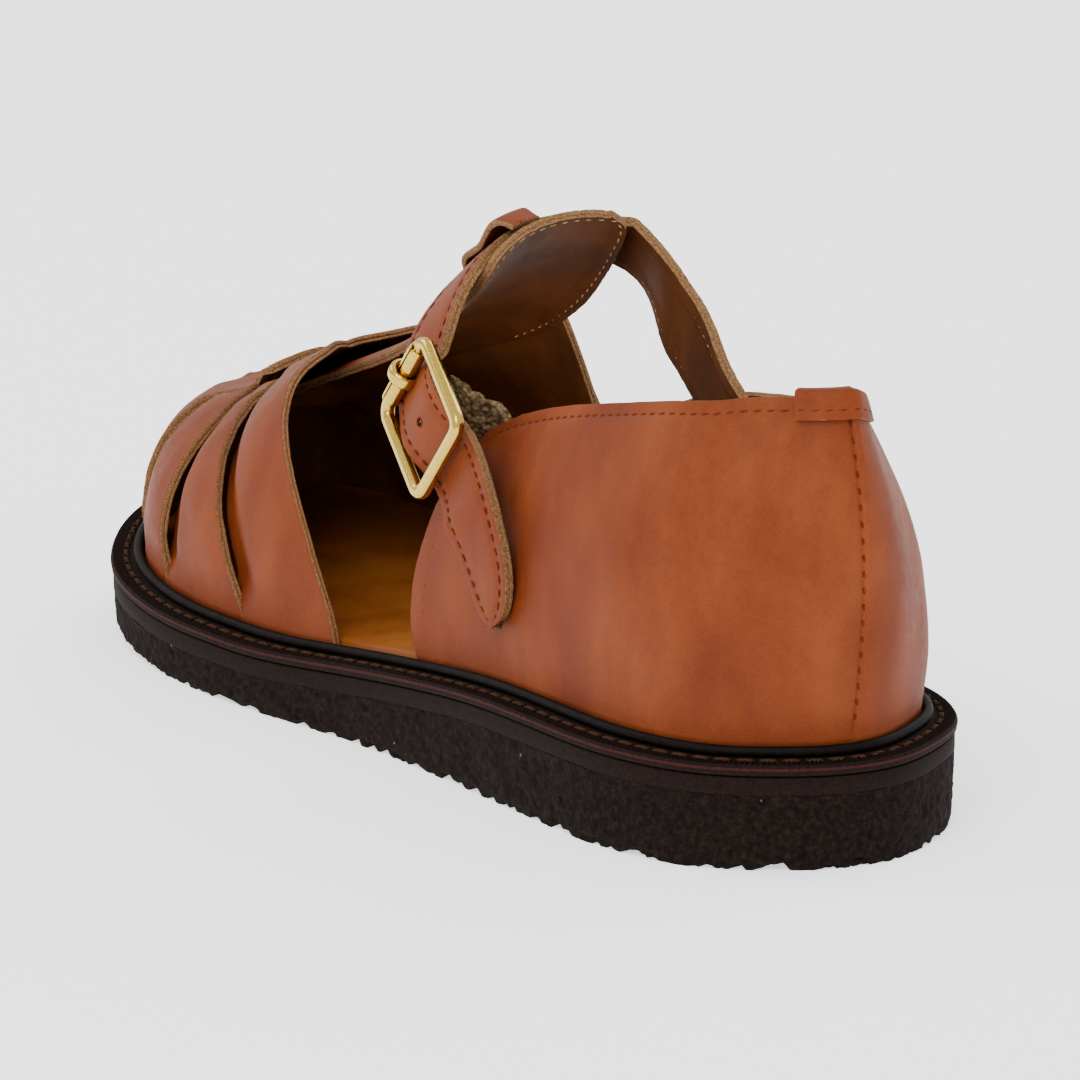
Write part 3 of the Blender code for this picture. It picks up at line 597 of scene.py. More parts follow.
def makeSole():
    columns = soleParts["columns"]
    crepe = soleLayer(columns, soleParts["crepeRows"], crepeEdge, 40, treadRelief)
    addPiece("crepeOutsole", crepe, ["crepe"], ["outsole"], 70)

    # the moulded band, rounded a little at its top and bottom edge
    bandRows = [(0.2, 0.0), (0.0, 0.06), (0.0, 0.5), (0.0, 0.90), (0.1, 0.97), (0.4, 1.0)]

    def bandEdge(turn, row):
        inset, level = bandRows[row]
        point, _ = outline(turn % 360, soleParts["step"] + inset)
        low, high = midsoleBottom(point.x), midsoleTop(point.x)
        return Vector((point.x, point.y, low + (high - low) * level))

    band = soleLayer(360, len(bandRows) - 1, bandEdge)
    addPiece("soleBand", band, ["band"], ["midsole"])

    # the welt: smooth outside, fine radial ribs on its top
    section = [
        (7.3, 0.3), (0.5, 0.3), (0.12, 0.6), (0.0, 1.3), (0.05, 2.2), (0.35, 2.68), (0.8, 2.8), (1.4, 2.8),
        (2.0, 2.8), (2.6, 2.8), (3.2, 2.8), (5.0, 2.8), (7.3, 2.8), (7.3, 0.3),
    ]
    ribSteps = soleParts["ribSteps"]
    weltColumns = ribSteps * soleParts["ribs"]

    def weltPlace(i, j):
        turn = 360.0 * i / weltColumns
        inset, height = section[j]
        point, _ = outline(turn % 360, inset)
        rib = 0.0
        if 5 < j < 11:
            rib = soleParts["ribHeight"] * (math.cos(2 * math.pi * i / ribSteps) - 1) * 0.5
        return Vector((point.x, point.y, midsoleTop(point.x) + height + rib))

    welt = gridMesh(weltColumns, len(section) - 1, weltPlace)
    addRing("ribbedWelt", welt, "band", ["welt"])

    # the maroon line under the welt's rim
    line = [(0.6, 1.5), (-0.05, 1.5), (-0.1, 1.8), (-0.05, 2.1), (0.6, 2.1), (0.6, 1.5)]

    def linePlace(i, j):
        inset, height = line[j]
        point, _ = outline(i % 360, inset)
        return Vector((point.x, point.y, midsoleTop(point.x) + height))

    rimLine = gridMesh(360, len(line) - 1, linePlace)
    addRing("maroonRimLine", rimLine, "maroon")

    # the black bead along the foot of the upper
    radius = soleParts["beadShare"] * shoe["randRadius"]

    def beadPlace(i, j):
        around = 2 * math.pi * j / 12
        point, inward = outline(i % 360, shoe["weltWidth"] - radius - shoe["gap"])
        squeeze = 1 + uneven((point.x, point.y, 0.0), 14.0, 0.07)
        off = radius * squeeze * math.cos(around)
        rise = radius * squeeze * math.sin(around)
        return Vector((point.x - inward.x * off, point.y - inward.y * off,
                       soleTop(point.x) + radius + 0.5 * shoe["gap"] + rise))

    bead = gridMesh(360, 12, beadPlace)
    addRing("blackRand", bead, "rand", ["rand"])

    # chain-like lockstitch that sews the welt, in a channel beside the bead
    path = []
    for k in range(721):
        point, _ = outline((0.5 * k) % 360, soleParts["lockIn"])
        path.append((Vector((point.x, point.y, soleTop(point.x))), Vector((0.0, 0.0, 1.0))))
    lock = bmesh.new()
    pitch = soleParts["lockPitch"]
    for slant in (0.22, -0.22):
        threadRow(lock, path, pitch, 4.4, 0.9, 0.08, slant)
    addStitches("weltLockstitch", lock, "weltThread")

    # the footbed: honey leather with a softly rounded, slightly raised edge
    bedRows = [(0.0, 0.0), (0.0, 0.5), (0.15, 0.9), (0.8, 1.0)]

    def bedEdge(turn, row):
        inset, level = bedRows[row]
        point, _ = outline(turn % 360, shoe["weltWidth"] + shoe["wall"] + shoe["gap"] + inset)
        low = midsoleTop(point.x) + shoe["gap"]
        return Vector((point.x, point.y, low + shoe["insoleThick"] * level))

    bed = soleLayer(240, len(bedRows) - 1, bedEdge)
    addPiece("honeyFootbed", bed, ["honey"], ["insole"])


makeSole()
print("sole done")


# heel quarters
quarters = {
    "backHeight": 78.0,
    "medialDrop": 6.5,
    "columns": 132,
    "topRows": 14,
    "lowRows": 40,
    "topBand": 7.0,
    "stitchIn": 2.7,
    "seamShare": 0.012,
    "seamStep": 0.6,
    "seamFade": 26.0,
    "reach": 110.0,
    "layers": [(0.0, 1.15, 0, 2, 2), (1.22, 2.0, 3, 1, 2)],
}
# share of the height, and where the front edge stands as a share of the length
quarterFront = [(0.00, 0.440), (0.25, 0.447), (0.60, 0.438), (0.85, 0.420), (1.00, 0.400)]
# share from the back seam to the front edge: bulge, and the topline's lean in on each side
heelWall = [
    (0.00, 0.119, 0.071, 0.071), (0.12, 0.110, 0.130, 0.150), (0.28, 0.080, 0.250, 0.300),
    (0.50, 0.055, 0.270, 0.300), (0.75, 0.050, 0.250, 0.190), (1.00, 0.050, 0.250, 0.090),
]
# share from the back seam: height of the topline as a share of the back's
topline = [
    (0.00, 1.000), (0.15, 0.995), (0.35, 0.975), (0.60, 0.929), (0.80, 0.846), (0.92, 0.778), (1.00, 0.705),
]


def quarterPoint(side, share, up):
    turn = turnAt(curveAt(quarterFront, up, 1)) * share
    foot, inward = outline(turn if side > 0 else 360.0 - turn, shoe["weltWidth"])
    bulge = curveAt(heelWall, share, 1) * shoe["heelHalf"]
    lean = curveAt(heelWall, share, 2 if side > 0 else 3) * shoe["heelHalf"]
    randTop = (shoe["weltThick"] + 2 * shoe["randRadius"]) / quarters["backHeight"]
    above = max(0.0, min(1.0, (up - randTop) / (1 - randTop)))
    plan = foot + inward * (lean * above**2 - bulge * math.sin(math.pi * above))
    height = upperFoot(foot.x) + up * curveAt(topline, share, 1) * quarters["backHeight"]
    if side < 0:
        height -= up * quarters["medialDrop"] * math.sin(math.pi * share)
    return Vector((plan.x, plan.y, height))


def quarterFrame(side, share, up, outwards=0.0):
    point = quarterPoint(side, share, up)
    ahead = quarterPoint(side, min(share + 0.02, 1.0), up) - quarterPoint(side, max(share - 0.02, 0.0), up)
    if share < 0.02:
        ahead = quarterPoint(side, share + 0.02, up) - quarterPoint(side, share, up)
    rise = quarterPoint(side, share, up + 0.02) - quarterPoint(side, share, up - 0.02)
    facing = (rise.cross(ahead) * side).normalized()
    return point + facing * outwards, facing


def quarterLeather(side, share, up):
    point, facing = quarterFrame(side, share, up)
    life = uneven(point, 26.0, 0.7, 2.0) + uneven(point, 9.0, 0.22, 8.0)
    life *= smooth(up, 0.08, 0.25) * (1 - 0.6 * smooth(up, 0.8, 1.0))
    height = up * quarters["backHeight"]
    fromTop = (1 - up) * curveAt(topline, share, 1) * quarters["backHeight"]
    groove = grooveAt(fromTop, quarters["stitchIn"], 0.9, 0.28)
    fromFront = (1 - share) * quarters["reach"]
    groove += grooveAt(fromFront, quarters["stitchIn"], 0.9, 0.28)
    if side > 0:
        fromSeam = (share - quarters["seamShare"]) * quarters["reach"]
        lifted = quarters["seamStep"] * (1 - smooth(fromSeam, -0.3, 0.5))
        groove += grooveAt(fromSeam, 0.2, 0.7, 0.45) * smooth(height, 2.0, 8.0)
    else:
        lifted = quarters["seamStep"]
    lifted = grooveAt(share * quarters["reach"], 0.0, quarters["seamFade"], lifted)
    return point + facing * (life - groove + lifted), facing


def makeQuarters():
    columns = quarters["columns"]
    low, top = quarters["lowRows"], quarters["topRows"]
    topShare = 1 - quarters["topBand"] / quarters["backHeight"]

    def place(i, j):
        t = 2 * i / columns - 1
        share = abs(t) ** 1.15
        up = topShare * j / low if j <= low else topShare + (1 - topShare) * (j - low) / top
        return quarterLeather(1 if t >= 0 else -1, share, up)[0]

    wall = layeredWall(columns, low + top, place, quarters["layers"])
    addPiece("heelQuarters", wall, wallFinishes, ["quarters"])

    # dark stitches inside the topline and the front edges, and down the back seam
    sewn = bmesh.new()
    for side in (1, -1):
        path = []
        for k in range(121):
            share = 0.02 + 0.955 * k / 120
            up = 1 - quarters["stitchIn"] / (curveAt(topline, share, 1) * quarters["backHeight"])
            path.append(quarterLeather(side, share, up))
        front = 0.976
        for k in range(1, 80):
            path.append(quarterLeather(side, front, 0.955 * (1 - k / 80)))
        threadRow(sewn, path, **fineStitch, slant=0.12)
    seam = [quarterLeather(1, quarters["seamShare"] + 0.002, 0.95 - 0.85 * k / 90) for k in range(91)]
    threadRow(sewn, seam, 3.5, 2.0, 0.8, 0.1, 0.1)
    addStitches("quarterStitches", sewn, "darkThread")


makeQuarters()


# forefoot straps
vamp = {
    "bulge": 2.8,
    "roundness": 0.76,
    "curl": 1.3,
    "dip": 3.0,
    "underlap": 5.0,
    "rows": 46,
    "cover": 4.0,
    "sweep": 22.0,
    "crossing": 17.0,
}
# rear and front edge of each strap as shares of the length: on the ridge, at the sole on the
# lateral side and how far it bows forward there, and the same on the medial side
strapRows = {
    "rearStrap": ((0.675, 0.825), (0.543, 0.645), (0.062, -0.006), (0.520, 0.655), (-0.034, 0.000), 40),
    "thirdStrap": ((0.832, 0.862), (0.655, 0.780), (-0.008, -0.034), (0.665, 0.775), (0.000, 0.004), 34),
    "secondStrap": ((0.868, 0.893), (0.788, 0.885), (-0.036, -0.018), (0.783, 0.880), (0.004, 0.002), 32),
    "toeStrap": ((0.898, 0.925), (0.893, 1.000), (-0.018, 0.000), (0.888, 1.000), (0.002, 0.000), 36),
}
# along the length, heel end last: lateral and medial half-width of the T-strap, its arch
tongueRows = [
    (0.428, 0.70, 0.50, 0.80), (0.440, 0.97, 0.74, 0.82), (0.465, 1.04, 0.84, 0.72),
    (0.500, 0.98, 0.92, 0.64), (0.540, 0.90, 0.96, 0.60), (0.600, 0.76, 0.90, 0.60),
    (0.660, 0.68, 0.70, 0.60), (0.740, 0.60, 0.58, 0.58), (0.835, 0.55, 0.55, 0.60),
]
tongue = {
    "halfWidth": 20.0,
    "sink": 1.4,
    "stitchAlong": 0.432,
    "stitchShare": 0.92,
    "stitchDepth": 1.95,
    "columns": 96,
    "rows": 36,
}


def tongueSection(along, side):
    half = curveAt(tongueRows, along, 1 if side > 0 else 2) * tongue["halfWidth"]
    return half, curveAt(tongueRows, along, 3) * shoe["ballHalf"]


# height that the straps need to clear the T-strap under them
def tongueCover(plan):
    along = plan.x / shoe["length"]
    here = ridge(along)
    slope = ridge(along + 0.01) - ridge(along - 0.01)
    steep = math.hypot(slope.x, slope.z) / slope.x
    half, radius = tongueSection(along, plan.y - here.y)
    off = abs(plan.y - here.y)
    drop = radius - math.sqrt(radius**2 - min(off, half) ** 2)
    needed = here.z + (4 * shoe["gap"] + shoe["wall"] - tongue["sink"] - drop) * steep
    return needed, 1 - smooth(off, half + 1.0, half + vamp["cover"] + 4.0)


def strapPoint(name, side, t, up):
    ridgeEdge, lateral, lateralBow, medial, medialBow, _ = strapRows[name]
    sole, bows = (lateral, lateralBow) if side > 0 else (medial, medialBow)
    turn = turnAt(sole[0]) * (1 - t) + turnAt(sole[1]) * t
    foot, inward = outline(turn if side > 0 else 360.0 - turn, shoe["weltWidth"])
    crest = ridge(ridgeEdge[0] * (1 - t) + ridgeEdge[1] * t)
    way = Vector((crest.x, crest.y)) - foot
    across = inward * way.dot(inward)
    along = way - across
    angle = 0.5 * math.pi * up
    closing = 1 - max(math.cos(angle), 0.0) ** vamp["roundness"]
    rise = math.sin(angle) ** vamp["roundness"]
    bulge = vamp["bulge"] * math.sin(math.pi * up) ** 2
    bow = (bows[0] * (1 - t) + bows[1] * t) * shoe["length"] * math.sin(math.pi * up**1.5)
    if name == "toeStrap":
        bow -= vamp["sweep"] * smooth(up, 0.66, 1.0) * (1 - t)
    if name == "rearStrap":
        bow += vamp["crossing"] * smooth(up, 0.76, 1.0) * (1 - t)
    plan = foot + across * closing + along * up - inward * bulge + Vector((bow, 0.0))
    base = upperFoot(foot.x)
    over = ridge(plan.x / shoe["length"]).z
    top = crest.z + (over - crest.z) * up**4
    height = base + (top - base) * rise
    if plan.x < tongueRows[-1][0] * shoe["length"] + vamp["cover"]:
        needed, share = tongueCover(plan)
        height += max(0.0, needed - height) * share
    facing = Vector((-inward.x * (1 - up), -inward.y * (1 - up), up)).normalized()
    free = smooth(up, 0.03, 0.16)
    lift = vamp["curl"] * max(0.0, 1 - t) ** 2 + 0.7 * math.sin(math.pi * min(1.0, t))
    if name != "toeStrap":
        lift -= vamp["dip"] * smooth(t, 0.72, 1.08)
    if name in ("secondStrap", "thirdStrap"):
        lift -= vamp["dip"] * smooth(up, 0.74, 0.92)
    if name == "toeStrap":
        lift += 1.2 * smooth(up, 0.8, 1.0)
    point = Vector((plan.x, plan.y, height))
    lift += uneven(point, 18.0, 0.5, 3.0) + uneven(point, 6.0, 0.18, 6.0)
    return point + facing * lift * free


def makeStraps():
    rows = vamp["rows"]
    reach = 1.0 + vamp["underlap"] / 30.0
    for name in strapRows:
        columns = strapRows[name][-1]

        # from side to side round the toe, and over the ridge for the others
        def roundToe(i, j):
            t = 1 - abs(i / columns - 1)
            return strapPoint(name, 1 if i <= columns else -1, t, j / rows)

        def overRidge(i, j):
            across = 1 - j / rows
            return strapPoint(name, 1 if across >= 0 else -1, reach * i / columns, 1 - abs(across))

        if name == "toeStrap":
            wall = layeredWall(2 * columns, rows, roundToe, thinLayers)
        else:
            wall = layeredWall(columns, 2 * rows, overRidge, thinLayers)
        addPiece(name, wall, wallFinishes, ["vamp"])


makeStraps()
print("straps done")


# T-strap and tongue
def tonguePoint(along, across):
    here = ridge(along)
    slope = ridge(along + 0.01) - ridge(along - 0.01)
    forward = Vector((slope.x, 0.0, slope.z)).normalized()
    facing = Vector((-forward.z, 0.0, forward.x))
    half, radius = tongueSection(along, across)
    y = half * across
    drop = radius - math.sqrt(radius**2 - y**2)
    return here + Vector((0.0, y, 0.0)) - facing * drop, facing


def tongueFrame(along, across, outwards):
    point, facing = tonguePoint(along, across)
    half, radius = tongueSection(along, across)
    tilt = math.asin(max(-1.0, min(1.0, half * across / radius)))
    out = (facing * math.cos(tilt) + Vector((0.0, math.sin(tilt), 0.0))).normalized()
    return point + out * (outwards - tongue["sink"]), out


def makeTongue():
    columns, rows = tongue["columns"], tongue["rows"]
    first, end = tongueRows[-1][0], tongueRows[0][0]

    def place(i, j):
        t = i / columns
        along = first + (end - first) * t
        point, out = tongueFrame(along, 2 * j / rows - 1, 0.0)
        edge = 1 - abs(2 * j / rows - 1)
        groove = grooveAt(edge * 18.0, 2.6, 0.8, 0.2)
        return point + out * (uneven(point, 16.0, 0.35, 4.0) - groove)

    wall = layeredWall(columns, rows, place, thinLayers)
    addPiece("instepTongue", wall, wallFinishes, ["instep_strap"])

    # pale stitches inside the tongue, near its rim
    sewn = bmesh.new()
    rim, near = tongue["stitchAlong"], tongue["stitchShare"]
    lateralEnd, medialEnd = 0.66, 0.62
    spots = [(lateralEnd - (lateralEnd - rim) * k / 89, near) for k in range(90)]
    spots += [(rim, near * (1 - 2 * k / 40)) for k in range(1, 40)]
    spots += [(rim + (medialEnd - rim) * k / 89, -near) for k in range(90)]
    path = []
    for along, across in spots:
        point, out = tongueFrame(along, across, -tongue["stitchDepth"])
        path.append((point, -out))
    threadRow(sewn, path, 3.0, 1.8, 0.42, 0.0, 0.1)
    addStitches("tongueStitches", sewn, "paleThread")


makeTongue()


# a tube or bar along rows of place, way along and way out
def tubeAlong(path, sides, radius):
    count = len(path) - 1

    def place(i, j):
        at, along, out = path[i]
        side = out.cross(along).normalized()
        turn = 2 * math.pi * j / sides
        wide, high = radius(i)
        squareness = 0.72
        c, s = math.cos(turn), math.sin(turn)
        c = math.copysign(abs(c) ** squareness, c)
        s = math.copysign(abs(s) ** squareness, s)
        return at + side * wide * c + out * high * s
    return gridMesh(count, sides, place)


# ankle strap
strap = {
    "width": 18.0,
    "thick": 2.6,
    "spacing": 1.1,
    "rows": 24,
    "overTongue": 0.476,
    "clearance": 0.8,
    "inside": 2.4,
    "bow": 3.5,
    "stitchIn": 2.4,
    "hole": 1.0,
    "holes": (1.0,),
    "swell": (0.0, -2.0, 0.5),
    "swellFacing": (0.30, -0.93, 0.20),
    "layers": [(0.0, 1.25, 0, 2, 2), (1.32, 2.2, 3, 1, 2)],
}
buckle = {
    "along": 0.4246,
    "up": 58.0,
    "out": -2.0,
    "length": 25.0,
    "width": 23.0,
    "wire": 1.35,
    "play": 0.9,
    "corner": 3.0,
    "facing": (0.075, 0.984, 0.144),
    "down": (-0.80, 0.15, -0.58),
}


def bucklePlace():
    place = Vector((buckle["along"] * shoe["length"], 0.0, 0.0))
    place.y = outline(turnAt(buckle["along"]), shoe["weltWidth"])[0].y + buckle["out"]
    place.z = upperFoot(place.x) + buckle["up"]
    facing = Vector(buckle["facing"]).normalized()
    down = Vector(buckle["down"])
    return place, facing, (down - facing * down.dot(facing)).normalized()


def strapPath():
    half = 0.5 * strap["thick"]
    inside = -(shoe["wall"] + strap["inside"] + half)
    over = shoe["gap"] + half
    middle, facing, down = bucklePlace()
    reach = 0.5 * buckle["length"]
    leaving = quarterFrame(-1, 0.84, 0.92, inside - 0.6)
    arriving = tongueFrame(strap["overTongue"], -1.0, over + 3 * strap["clearance"])
    lying = over + strap["clearance"]
    between = 0.5 * (leaving[0] + arriving[0]) + Vector(strap["swell"])
    return [
        quarterFrame(-1, 0.70, 0.56, inside),
        leaving,
        (between, Vector(strap["swellFacing"]).normalized()),
        arriving,
        *[tongueFrame(strap["overTongue"], 0.3 * k, lying) for k in range(-2, 3)],
        (middle - down * reach, facing),
        (middle + facing * strap["bow"], facing),
        (middle + down * reach, facing),
        quarterFrame(1, 0.870, 0.63, over + 4.2),
        quarterFrame(1, 0.835, 0.46, over + 1.2),
        quarterFrame(1, 0.810, 0.26, over + 0.4),
    ]


def smoothPath(rows, spacing):
    lengths = [(b[0] - a[0]).length for a, b in zip(rows, rows[1:])]

    def slope(i, c):
        before, after = max(i - 1, 0), min(i, len(lengths) - 1)
        arriving = (rows[before + 1][c] - rows[before][c]) / lengths[before]
        leaving = (rows[after + 1][c] - rows[after][c]) / lengths[after]
        whole = lengths[before] + lengths[after]
        return (arriving * lengths[after] + leaving * lengths[before]) / whole

    spots = []
    for i, length in enumerate(lengths):
        steps = max(round(length / spacing), 1)
        for k in range(steps):
            spots.append([
                hermite(rows[i][c], slope(i, c), rows[i + 1][c], slope(i + 1, c), k / steps, length)
                for c in range(2)
            ])
    spots.append([rows[-1][0].copy(), rows[-1][1].copy()])
    return spots


def framed(spots):
    frames = []
    for i, (place, facing) in enumerate(spots):
        ahead = (spots[min(i + 1, len(spots) - 1)][0] - spots[max(i - 1, 0)][0]).normalized()
        out = (facing - ahead * facing.dot(ahead)).normalized()
        frames.append({"at": place, "ahead": ahead, "out": out, "across": out.cross(ahead)})
    return frames


def strapFrames():
    frames = framed(smoothPath(strapPath(), strap["spacing"]))
    tip = frames[-1]["at"]
    for frame in frames:
        left = min(1.0, (frame["at"] - tip).length / strap["width"])
        frame["half"] = 0.5 * strap["width"] * math.sqrt(max(0.004, 1 - (1 - left) ** 2))
    return frames


def onStrap(frame, away, level):
    return frame["at"] + frame["across"] * away + frame["out"] * level


def makeAnkleStrap():
    frames = strapFrames()
    rows = strap["rows"]
    top = 0.5 * strap["thick"]

    def place(i, j):
        frame = frames[i]
        share = 2 * j / rows - 1
        away = frame["half"] * share
        fromEdge = frame["half"] - abs(away)
        groove = grooveAt(fromEdge, strap["stitchIn"], 0.8, 0.3)
        crown = 0.35 * (1 - share**2)
        point = onStrap(frame, away, top - groove + crown - 0.2)
        return point + frame["out"] * uneven(point, 11.0, 0.3, 21.0)

    wall = layeredWall(len(frames) - 1, rows, place, strap["layers"])
    addPiece("ankleStrap", wall, wallFinishes, ["ankle_strap"])

    # stitches along both edges: dark outside, pale on the lining
    dark, pale = bmesh.new(), bmesh.new()
    for edge in (1, -1):
        outer, inner = [], []
        for frame in frames:
            away = edge * max(0.0, frame["half"] - strap["stitchIn"])
            outer.append((onStrap(frame, away, top - 0.2), frame["out"]))
            inner.append((onStrap(frame, away, 0.4 - top), -frame["out"]))
        threadRow(dark, outer, **fineStitch, slant=0.1)
        threadRow(pale, inner[:int(0.62 * len(inner))], 3.0, 1.9, 0.5, 0.05, 0.1)
    addStitches("strapStitches", dark, "darkThread")
    addStitches("strapLiningStitches", pale, "paleThread")

    # punched holes down the middle of the tail: a flat dark disc of painted shade laid on the strap stands
    # in for each hole's bore, with a burnished lip
    middle, _, down = bucklePlace()
    holeShades, lips = bmesh.new(), bmesh.new()
    for ahead in strap["holes"]:
        frame = min(frames, key=lambda one: (one["at"] - middle - down * ahead).length)
        turn = Matrix((frame["ahead"], frame["across"], frame["out"])).transposed().to_4x4()
        place = Matrix.Translation(toWorld(onStrap(frame, 0.0, top + 0.16)))
        # a flat disc of painted shade where the hole's bore would be; the strap is not cut
        bmesh.ops.create_circle(
            holeShades, cap_ends=True, segments=20, radius=strap["hole"] * mm, matrix=place @ turn,
        )
        ring = []
        for k in range(21):
            angle = 2 * math.pi * k / 20
            way = frame["ahead"] * math.cos(angle) + frame["across"] * math.sin(angle)
            along = frame["across"] * math.cos(angle) - frame["ahead"] * math.sin(angle)
            ring.append((onStrap(frame, 0.0, top + 0.1) + way * strap["hole"], along, frame["out"]))
        lips = joinMeshes([lips, tubeAlong(ring, 8, lambda i: (0.22, 0.16))])
    addPiece("strapHoleShade", holeShades, ["holeShade"])
    addStitches("holeLips", lips, "darkThread")
    return frames


makeAnkleStrap()
print("ankle strap done")


# buckle, prong and keeper
def makeBuckle():
    middle, facing, down = bucklePlace()
    across = facing.cross(down)
    level = 0.5 * strap["thick"] + shoe["gap"] + buckle["wire"] + buckle["play"]
    middle = middle + facing * level
    corner = buckle["corner"]
    long, wide = 0.5 * buckle["length"], 0.5 * buckle["width"]
    points = []
    for sx, sy, start in ((1, 1, 0), (-1, 1, 90), (-1, -1, 180), (1, -1, 270)):
        for k in range(9):
            angle = math.radians(start + 90 * k / 8)
            u = sx * (long - corner) + corner * math.cos(angle)
            v = sy * (wide - corner) + corner * math.sin(angle)
            points.append(middle + down * u + across * v)
    points.append(points[0])
    path = []
    for k, point in enumerate(points):
        ahead = points[(k + 1) % (len(points) - 1)] - points[(k - 1) % (len(points) - 1)]
        path.append((point, ahead.normalized(), facing))
    ring = tubeAlong(path, 16, lambda i: (1.6, 1.35))
    bmesh.ops.recalc_face_normals(ring, faces=ring.faces)
    addPiece("brassBuckle", ring, ["brass"], ["buckle_frame"])

    # the roller on the bar nearest the toe, a folded tube with an open seam
    bar = middle - down * long
    rollerHalf = wide - corner - 0.2
    turns = 28
    seam = 0.16

    def rollerPlace(i, j):
        step = -1 + 2 * i / 24
        turn = seam + (2 * math.pi - 2 * seam) * j / turns
        radius = 2.15 - 0.15 * smooth(abs(step), 0.92, 1.0)
        return bar + across * rollerHalf * step + facing * radius * math.cos(turn) \
            - down * radius * math.sin(turn)

    roller = layeredWall(24, turns, rollerPlace, [(0.0, 0.45, 0, 0, 0)], 0.1, toWorld(bar), 0.0)
    addPiece("buckleRoller", roller, ["brass"])

    # the prong: a flat loop round the roller, with its ends closed
    prong = []
    for k in range(25):
        angle = math.radians(-110 + 250 * k / 24)
        way = -down * math.sin(angle) + facing * math.cos(angle)
        along = -down * math.cos(angle) - facing * math.sin(angle)
        prong.append((bar + way * 3.0, along, way))
    loop = tubeAlong(prong[::-1], 12, lambda i: (1.5, 0.75))
    ends = [e for e in loop.edges if e.is_boundary]
    bmesh.ops.holes_fill(loop, edges=ends, sides=0)
    bmesh.ops.recalc_face_normals(loop, faces=loop.faces)
    addPiece("buckleProng", loop, ["brass"], ["buckle_prong"])


makeBuckle()


elastic = {"width": 15.0, "thick": 1.6, "loop": 1.5, "height": 0.5}


def makeElastic():
    middle, facing, down = bucklePlace()
    half = 0.5 * elastic["thick"]
    under = -(0.5 * strap["thick"] + shoe["gap"] + half)
    inside = -(shoe["wall"] + strap["inside"] + half)
    reach = buckle["length"]
    frames = framed(smoothPath([
        (middle - down * 0.25 * reach + facing * (under - 0.4), facing),
        (middle - down * 0.05 * reach + facing * (under - 2.4), facing),
        (middle + down * 0.15 * reach + facing * (under - 9.5), facing),
        quarterFrame(1, 0.96, 0.84, inside - 3.0),
        quarterFrame(1, 0.84, 0.74, inside + strap["inside"] - 3 * shoe["gap"]),
    ], 0.5))
    rows = 36

    def place(i, j):
        point = onStrap(frames[i], elastic["width"] * (j / rows - 0.5), half)
        curl = abs(noise.noise(point / elastic["loop"])) * elastic["height"] * 2
        return point + frames[i]["out"] * (curl - 0.3)

    layers = [(0.0, elastic["thick"], 0, 0, 0)]
    web = layeredWall(len(frames) - 1, rows, place, layers, 0.3, fray=0.35)
    addPiece("loopedElastic", web, ["boucle"], ["elastic"])


makeElastic()


keeper = {"width": 9.0, "thick": 1.5, "foot": 3.0, "side": 0.5}


def makeKeeper():
    half = 0.5 * keeper["thick"]
    near = shoe["gap"] + half
    over = 2 * shoe["gap"] + strap["clearance"] + strap["thick"] + half
    edge = 0.5 * strap["width"]
    share = tonguePoint(strap["overTongue"], 0.0)[1].z / shoe["length"]
    rows = []
    for away, height in (
        (edge + keeper["foot"] + 2.5 * keeper["thick"], near),
        (edge + 2.5 * keeper["thick"], near + shoe["gap"]),
        (edge + 0.8 * keeper["thick"], over),
        (0.0, over),
        (-edge - 0.8 * keeper["thick"], over),
        (-edge - 2.2 * keeper["thick"], near + shoe["gap"]),
    ):
        rows.append(tongueFrame(strap["overTongue"] + away * share, keeper["side"], height))
    frames = framed(smoothPath(rows, 1.0))
    count = 18

    def place(i, j):
        share = 2 * j / count - 1
        return onStrap(frames[i], 0.5 * keeper["width"] * share, half + 0.25 * (1 - share**2))

    loop = layeredWall(len(frames) - 1, count, place, [(0.0, keeper["thick"], 0, 1, 2)])
    addPiece("strapKeeper", loop, ["cognac", "lining", "rawEdge"], ["keeper"])


makeKeeper()


tab = {"depth": 4.6, "share": 0.1818, "thick": 1.2, "columns": 36, "rows": 30}


def makeTab():
    out = shoe["gap"] + tab["thick"]
    inner = shoe["wall"] + 3 * shoe["gap"] + tab["thick"]
    low = 1.0 - tab["depth"] / quarters["backHeight"]

    def place(i, j):
        t = (2 * i / tab["columns"] - 1) * tab["share"]
        side, share = (1 if t >= 0 else -1), abs(t)
        top = quarterPoint(side, share, 1.0)
        facing = quarterFrame(side, share, 1.0)[1]
        rows = [
            (0.0, quarterFrame(side, share, low, -inner)[0]),
            (0.3, top - facing * inner + Vector((0.0, 0.0, 0.5 * out))),
            (0.42, top - facing * (inner - 0.6 * out) + Vector((0.0, 0.0, 1.2 * out))),
            (0.58, top + facing * 0.3 * out + Vector((0.0, 0.0, 1.2 * out))),
            (0.7, top + facing * out + Vector((0.0, 0.0, 0.5 * out))),
            (1.0, quarterFrame(side, share, low, out)[0]),
        ]
        at = j / tab["rows"]
        return Vector([curveAt([(p, q[c]) for p, q in rows], at, 1) for c in range(3)])

    fold = layeredWall(tab["columns"], tab["rows"], place, [(0.0, tab["thick"], 0, 1, 2)])
    addPiece("heelTab", fold, ["cognac", "lining", "rawEdge"], ["heel_tab"])
    sewn = bmesh.new()
    path = []
    for k in range(41):
        t = (2 * k / 40 - 1) * tab["share"]
        side = 1 if t >= 0 else -1
        path.append(quarterFrame(side, abs(t), 1 - quarters["stitchIn"] / quarters["backHeight"], out))
    threadRow(sewn, path, **fineStitch, slant=0.12)
    addStitches("tabStitches", sewn, "darkThread")


makeTab()
print("heel tab done")


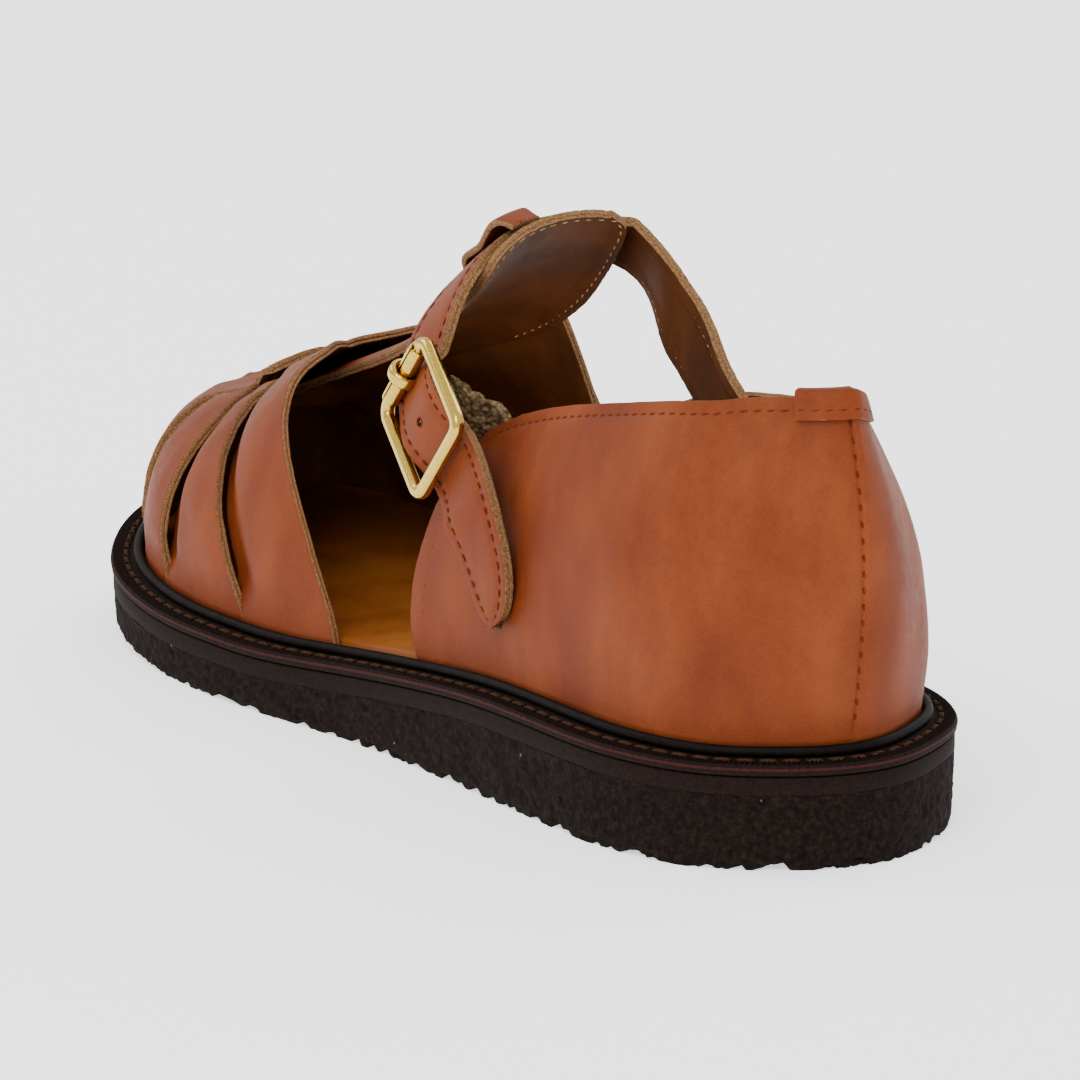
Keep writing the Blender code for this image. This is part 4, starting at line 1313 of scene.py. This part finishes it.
# floor, light and camera
studio = {
    "floorColor": "#F4F4F4",
    "world": 1.2,
    "floorGlow": 1.0,
    "azimuth": 238.0,
    "elevation": 14.67,
    "distance": 2.5,
    "lens": 383.0,
    "aim": (-0.0003, -0.0047, 0.0386),
}


def makeStudio():
    bm = bmesh.new()
    bmesh.ops.create_grid(bm, x_segments=1, y_segments=1, size=6.0)
    mesh = bpy.data.meshes.new("floor")
    bm.to_mesh(mesh)
    bm.free()
    floor = bpy.data.objects.new("floor", mesh)
    bpy.context.scene.collection.objects.link(floor)
    finish, tree, shader, _ = newFinish("matt white floor")
    shade(tree, shader, {
        "Base Color": linearColor(studio["floorColor"]),
        "Roughness": 0.9,
        "Emission Color": (1.0, 1.0, 1.0, 1.0),
        "Emission Strength": studio["floorGlow"],
    })
    mesh.materials.append(finish)

    world = bpy.data.worlds.new("studio")
    bpy.context.scene.world = world
    world.use_nodes = True
    sky = world.node_tree.nodes["Background"]
    sky.inputs["Color"].default_value = (1.0, 1.0, 1.0, 1.0)
    sky.inputs["Strength"].default_value = studio["world"]

    # name, place, size, power
    for name, place, size, power in (
        ("keyLight", (-1.3, 1.5, 1.9), 1.4, 46.0),
        ("toeLight", (1.6, 1.0, 1.3), 1.2, 16.0),
        ("backLight", (0.4, -1.6, 1.5), 1.2, 16.0),
    ):
        light = bpy.data.lights.new(name, "AREA")
        light.size = size
        light.energy = power
        lamp = bpy.data.objects.new(name, light)
        lamp.location = place
        lamp.rotation_euler = (Vector((0.0, 0.0, 0.04)) - Vector(place)).to_track_quat("-Z", "Y").to_euler()
        bpy.context.scene.collection.objects.link(lamp)

    a, e = math.radians(studio["azimuth"]), math.radians(studio["elevation"])
    back = Vector((math.sin(a) * math.cos(e), -math.cos(a) * math.cos(e), math.sin(e)))
    view = bpy.data.cameras.new("camera")
    view.lens = studio["lens"]
    view.sensor_width = 36.0
    view.clip_start, view.clip_end = 0.1, 40.0
    camera = bpy.data.objects.new("camera", view)
    camera.location = Vector(studio["aim"]) + back * studio["distance"]
    camera.rotation_euler = (-back).to_track_quat("-Z", "Y").to_euler()
    bpy.context.scene.collection.objects.link(camera)
    bpy.context.scene.camera = camera


makeStudio()
print("studio done")
